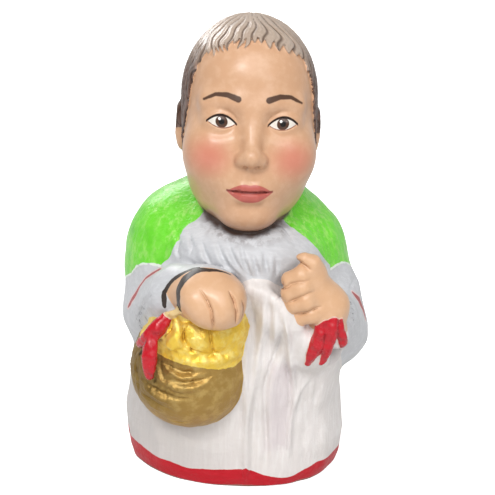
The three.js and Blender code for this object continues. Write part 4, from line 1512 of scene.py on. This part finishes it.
coat.put(bump.inputs["Height"], height)

surface = coat.add("ShaderNodeBsdfPrincipled")
coat.put(surface.inputs["Base Color"], coats.colour)
worn = coat.range(mottle, 0.3, 0.7, -0.05, 0.07)
coat.put(surface.inputs["Roughness"], coat.plus(coats.roughness, worn, clamp=True))
coat.put(surface.inputs["Metallic"], coats.metal)
coat.put(surface.inputs["Coat Weight"], coats.gloss)
coat.put(surface.inputs["Coat Roughness"], 0.25)
coat.put(surface.inputs["Specular IOR Level"], 0.3)
coat.put(surface.inputs["Normal"], bump.outputs["Normal"])
coat.put(coat.add("ShaderNodeOutputMaterial").inputs["Surface"], surface.outputs["BSDF"])

clay.data.materials.append(material)
print("nodes in the material:", len(tree.nodes))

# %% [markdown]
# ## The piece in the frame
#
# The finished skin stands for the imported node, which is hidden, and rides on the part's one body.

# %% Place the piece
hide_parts("figurine")
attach(clay, "root")
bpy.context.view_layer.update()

# %% [markdown]
# ## Floor and light
#
# The photograph is a catalogue picture on white, with soft light from high on the left and in front
# and hardly a shadow. A sheet of white paper that curves up behind the figurine gives the ground.
# A wide sun lights both evenly. Two small windows put the highlights on the glossy paint, and a lamp
# behind lights the back and the hair. Paper and world are white where the camera sees them and dimmer
# to the figurine, which leaves the gold something dark to mirror.

# %% Sheet of paper
SHEET_HALF_WIDTH = 3.0  # metres
SHEET_PROFILE = [(-1.5, 0), (0.9, 0), (1.2, 0.04), (1.45, 0.18), (1.6, 0.42), (1.66, 0.8), (1.66, 3.0)]
SHEET_GAP = 0.00005  # metres under the foot, so that the two never flicker
PAPER_TONE = 0.72
PAPER_GLOW = 0.8  # to the camera alone
WHITE = (1, 1, 1, 1)

bpy.ops.object.select_all(action="DESELECT")
bpy.ops.mesh.primitive_plane_add(size=1, location=(0, 0, 0))
floor = bpy.context.object
floor.name = "white_sheet"
rows = [(x, y, z - SHEET_GAP) for y, z in SHEET_PROFILE for x in (-SHEET_HALF_WIDTH, SHEET_HALF_WIDTH)]
strips = [(i, i + 1, i + 3, i + 2) for i in range(0, len(rows) - 2, 2)]
floor.data.clear_geometry()
floor.data.from_pydata(rows, [], strips)
bpy.ops.object.shade_smooth()
paper = bpy.data.materials.new("white paper")
paper.use_nodes = True
paper_surface = paper.node_tree.nodes["Principled BSDF"]
paper_surface.inputs["Base Color"].default_value = (PAPER_TONE, PAPER_TONE, PAPER_TONE, 1)
paper_surface.inputs["Roughness"].default_value = 0.9
paper_surface.inputs["Emission Color"].default_value = WHITE
seen = paper.node_tree.nodes.new("ShaderNodeLightPath")
brightened = paper.node_tree.nodes.new("ShaderNodeMath")
brightened.operation = "MULTIPLY"
brightened.inputs[1].default_value = PAPER_GLOW
paper.node_tree.links.new(seen.outputs["Is Camera Ray"], brightened.inputs[0])
paper.node_tree.links.new(brightened.outputs[0], paper_surface.inputs["Emission Strength"])
floor.data.materials.append(paper)
print("sheet of paper:", len(strips), "strips")

# %% World and lights
WORLD_GLOW = 0.3  # to all but the camera, which sees it white
FIGURE_MIDDLE = Vector((0, 0, 0.06))  # metres

world = bpy.data.worlds.new("dim studio")
world.use_nodes = True
sky = world.node_tree.nodes["Background"].inputs
sky["Color"].default_value = WHITE
rays = world.node_tree.nodes.new("ShaderNodeLightPath")
shown = world.node_tree.nodes.new("ShaderNodeMapRange")
shown.inputs["To Min"].default_value = WORLD_GLOW
world.node_tree.links.new(rays.outputs["Is Camera Ray"], shown.inputs["Value"])
world.node_tree.links.new(shown.outputs["Result"], sky["Strength"])
bpy.context.scene.world = world
bpy.context.scene.view_settings.view_transform = "Standard"


def add_light(name, kind, place, energy, **settings):
    """Adds a light that faces the figurine's middle."""
    light_data = bpy.data.lights.new(name, kind)
    light_data.energy = energy
    for setting, value in settings.items():
        setattr(light_data, setting, value)
    light = bpy.data.objects.new(name, light_data)
    light.location = place
    light.rotation_euler = (FIGURE_MIDDLE - Vector(place)).to_track_quat("-Z", "Y").to_euler()
    bpy.context.scene.collection.objects.link(light)


add_light("wide sun", "SUN", (0.1, -0.85, 0.92), 1.85, angle=math.radians(50))
add_light("window", "AREA", (-0.2, -0.48, 0.5), 1.3, size=0.14)
add_light("second window", "AREA", (0.3, -0.45, 0.3), 0.2, size=0.05)
add_light("lamp behind", "AREA", (-0.35, 0.55, 0.5), 2.0, size=0.3)
print("lights:", ", ".join(light.name for light in bpy.data.lights))

# %% [markdown]
# ## Check the size and finish
# The skin must not outgrow the imported solid, so both boxes are written down side by side.

# %% Import json
import json
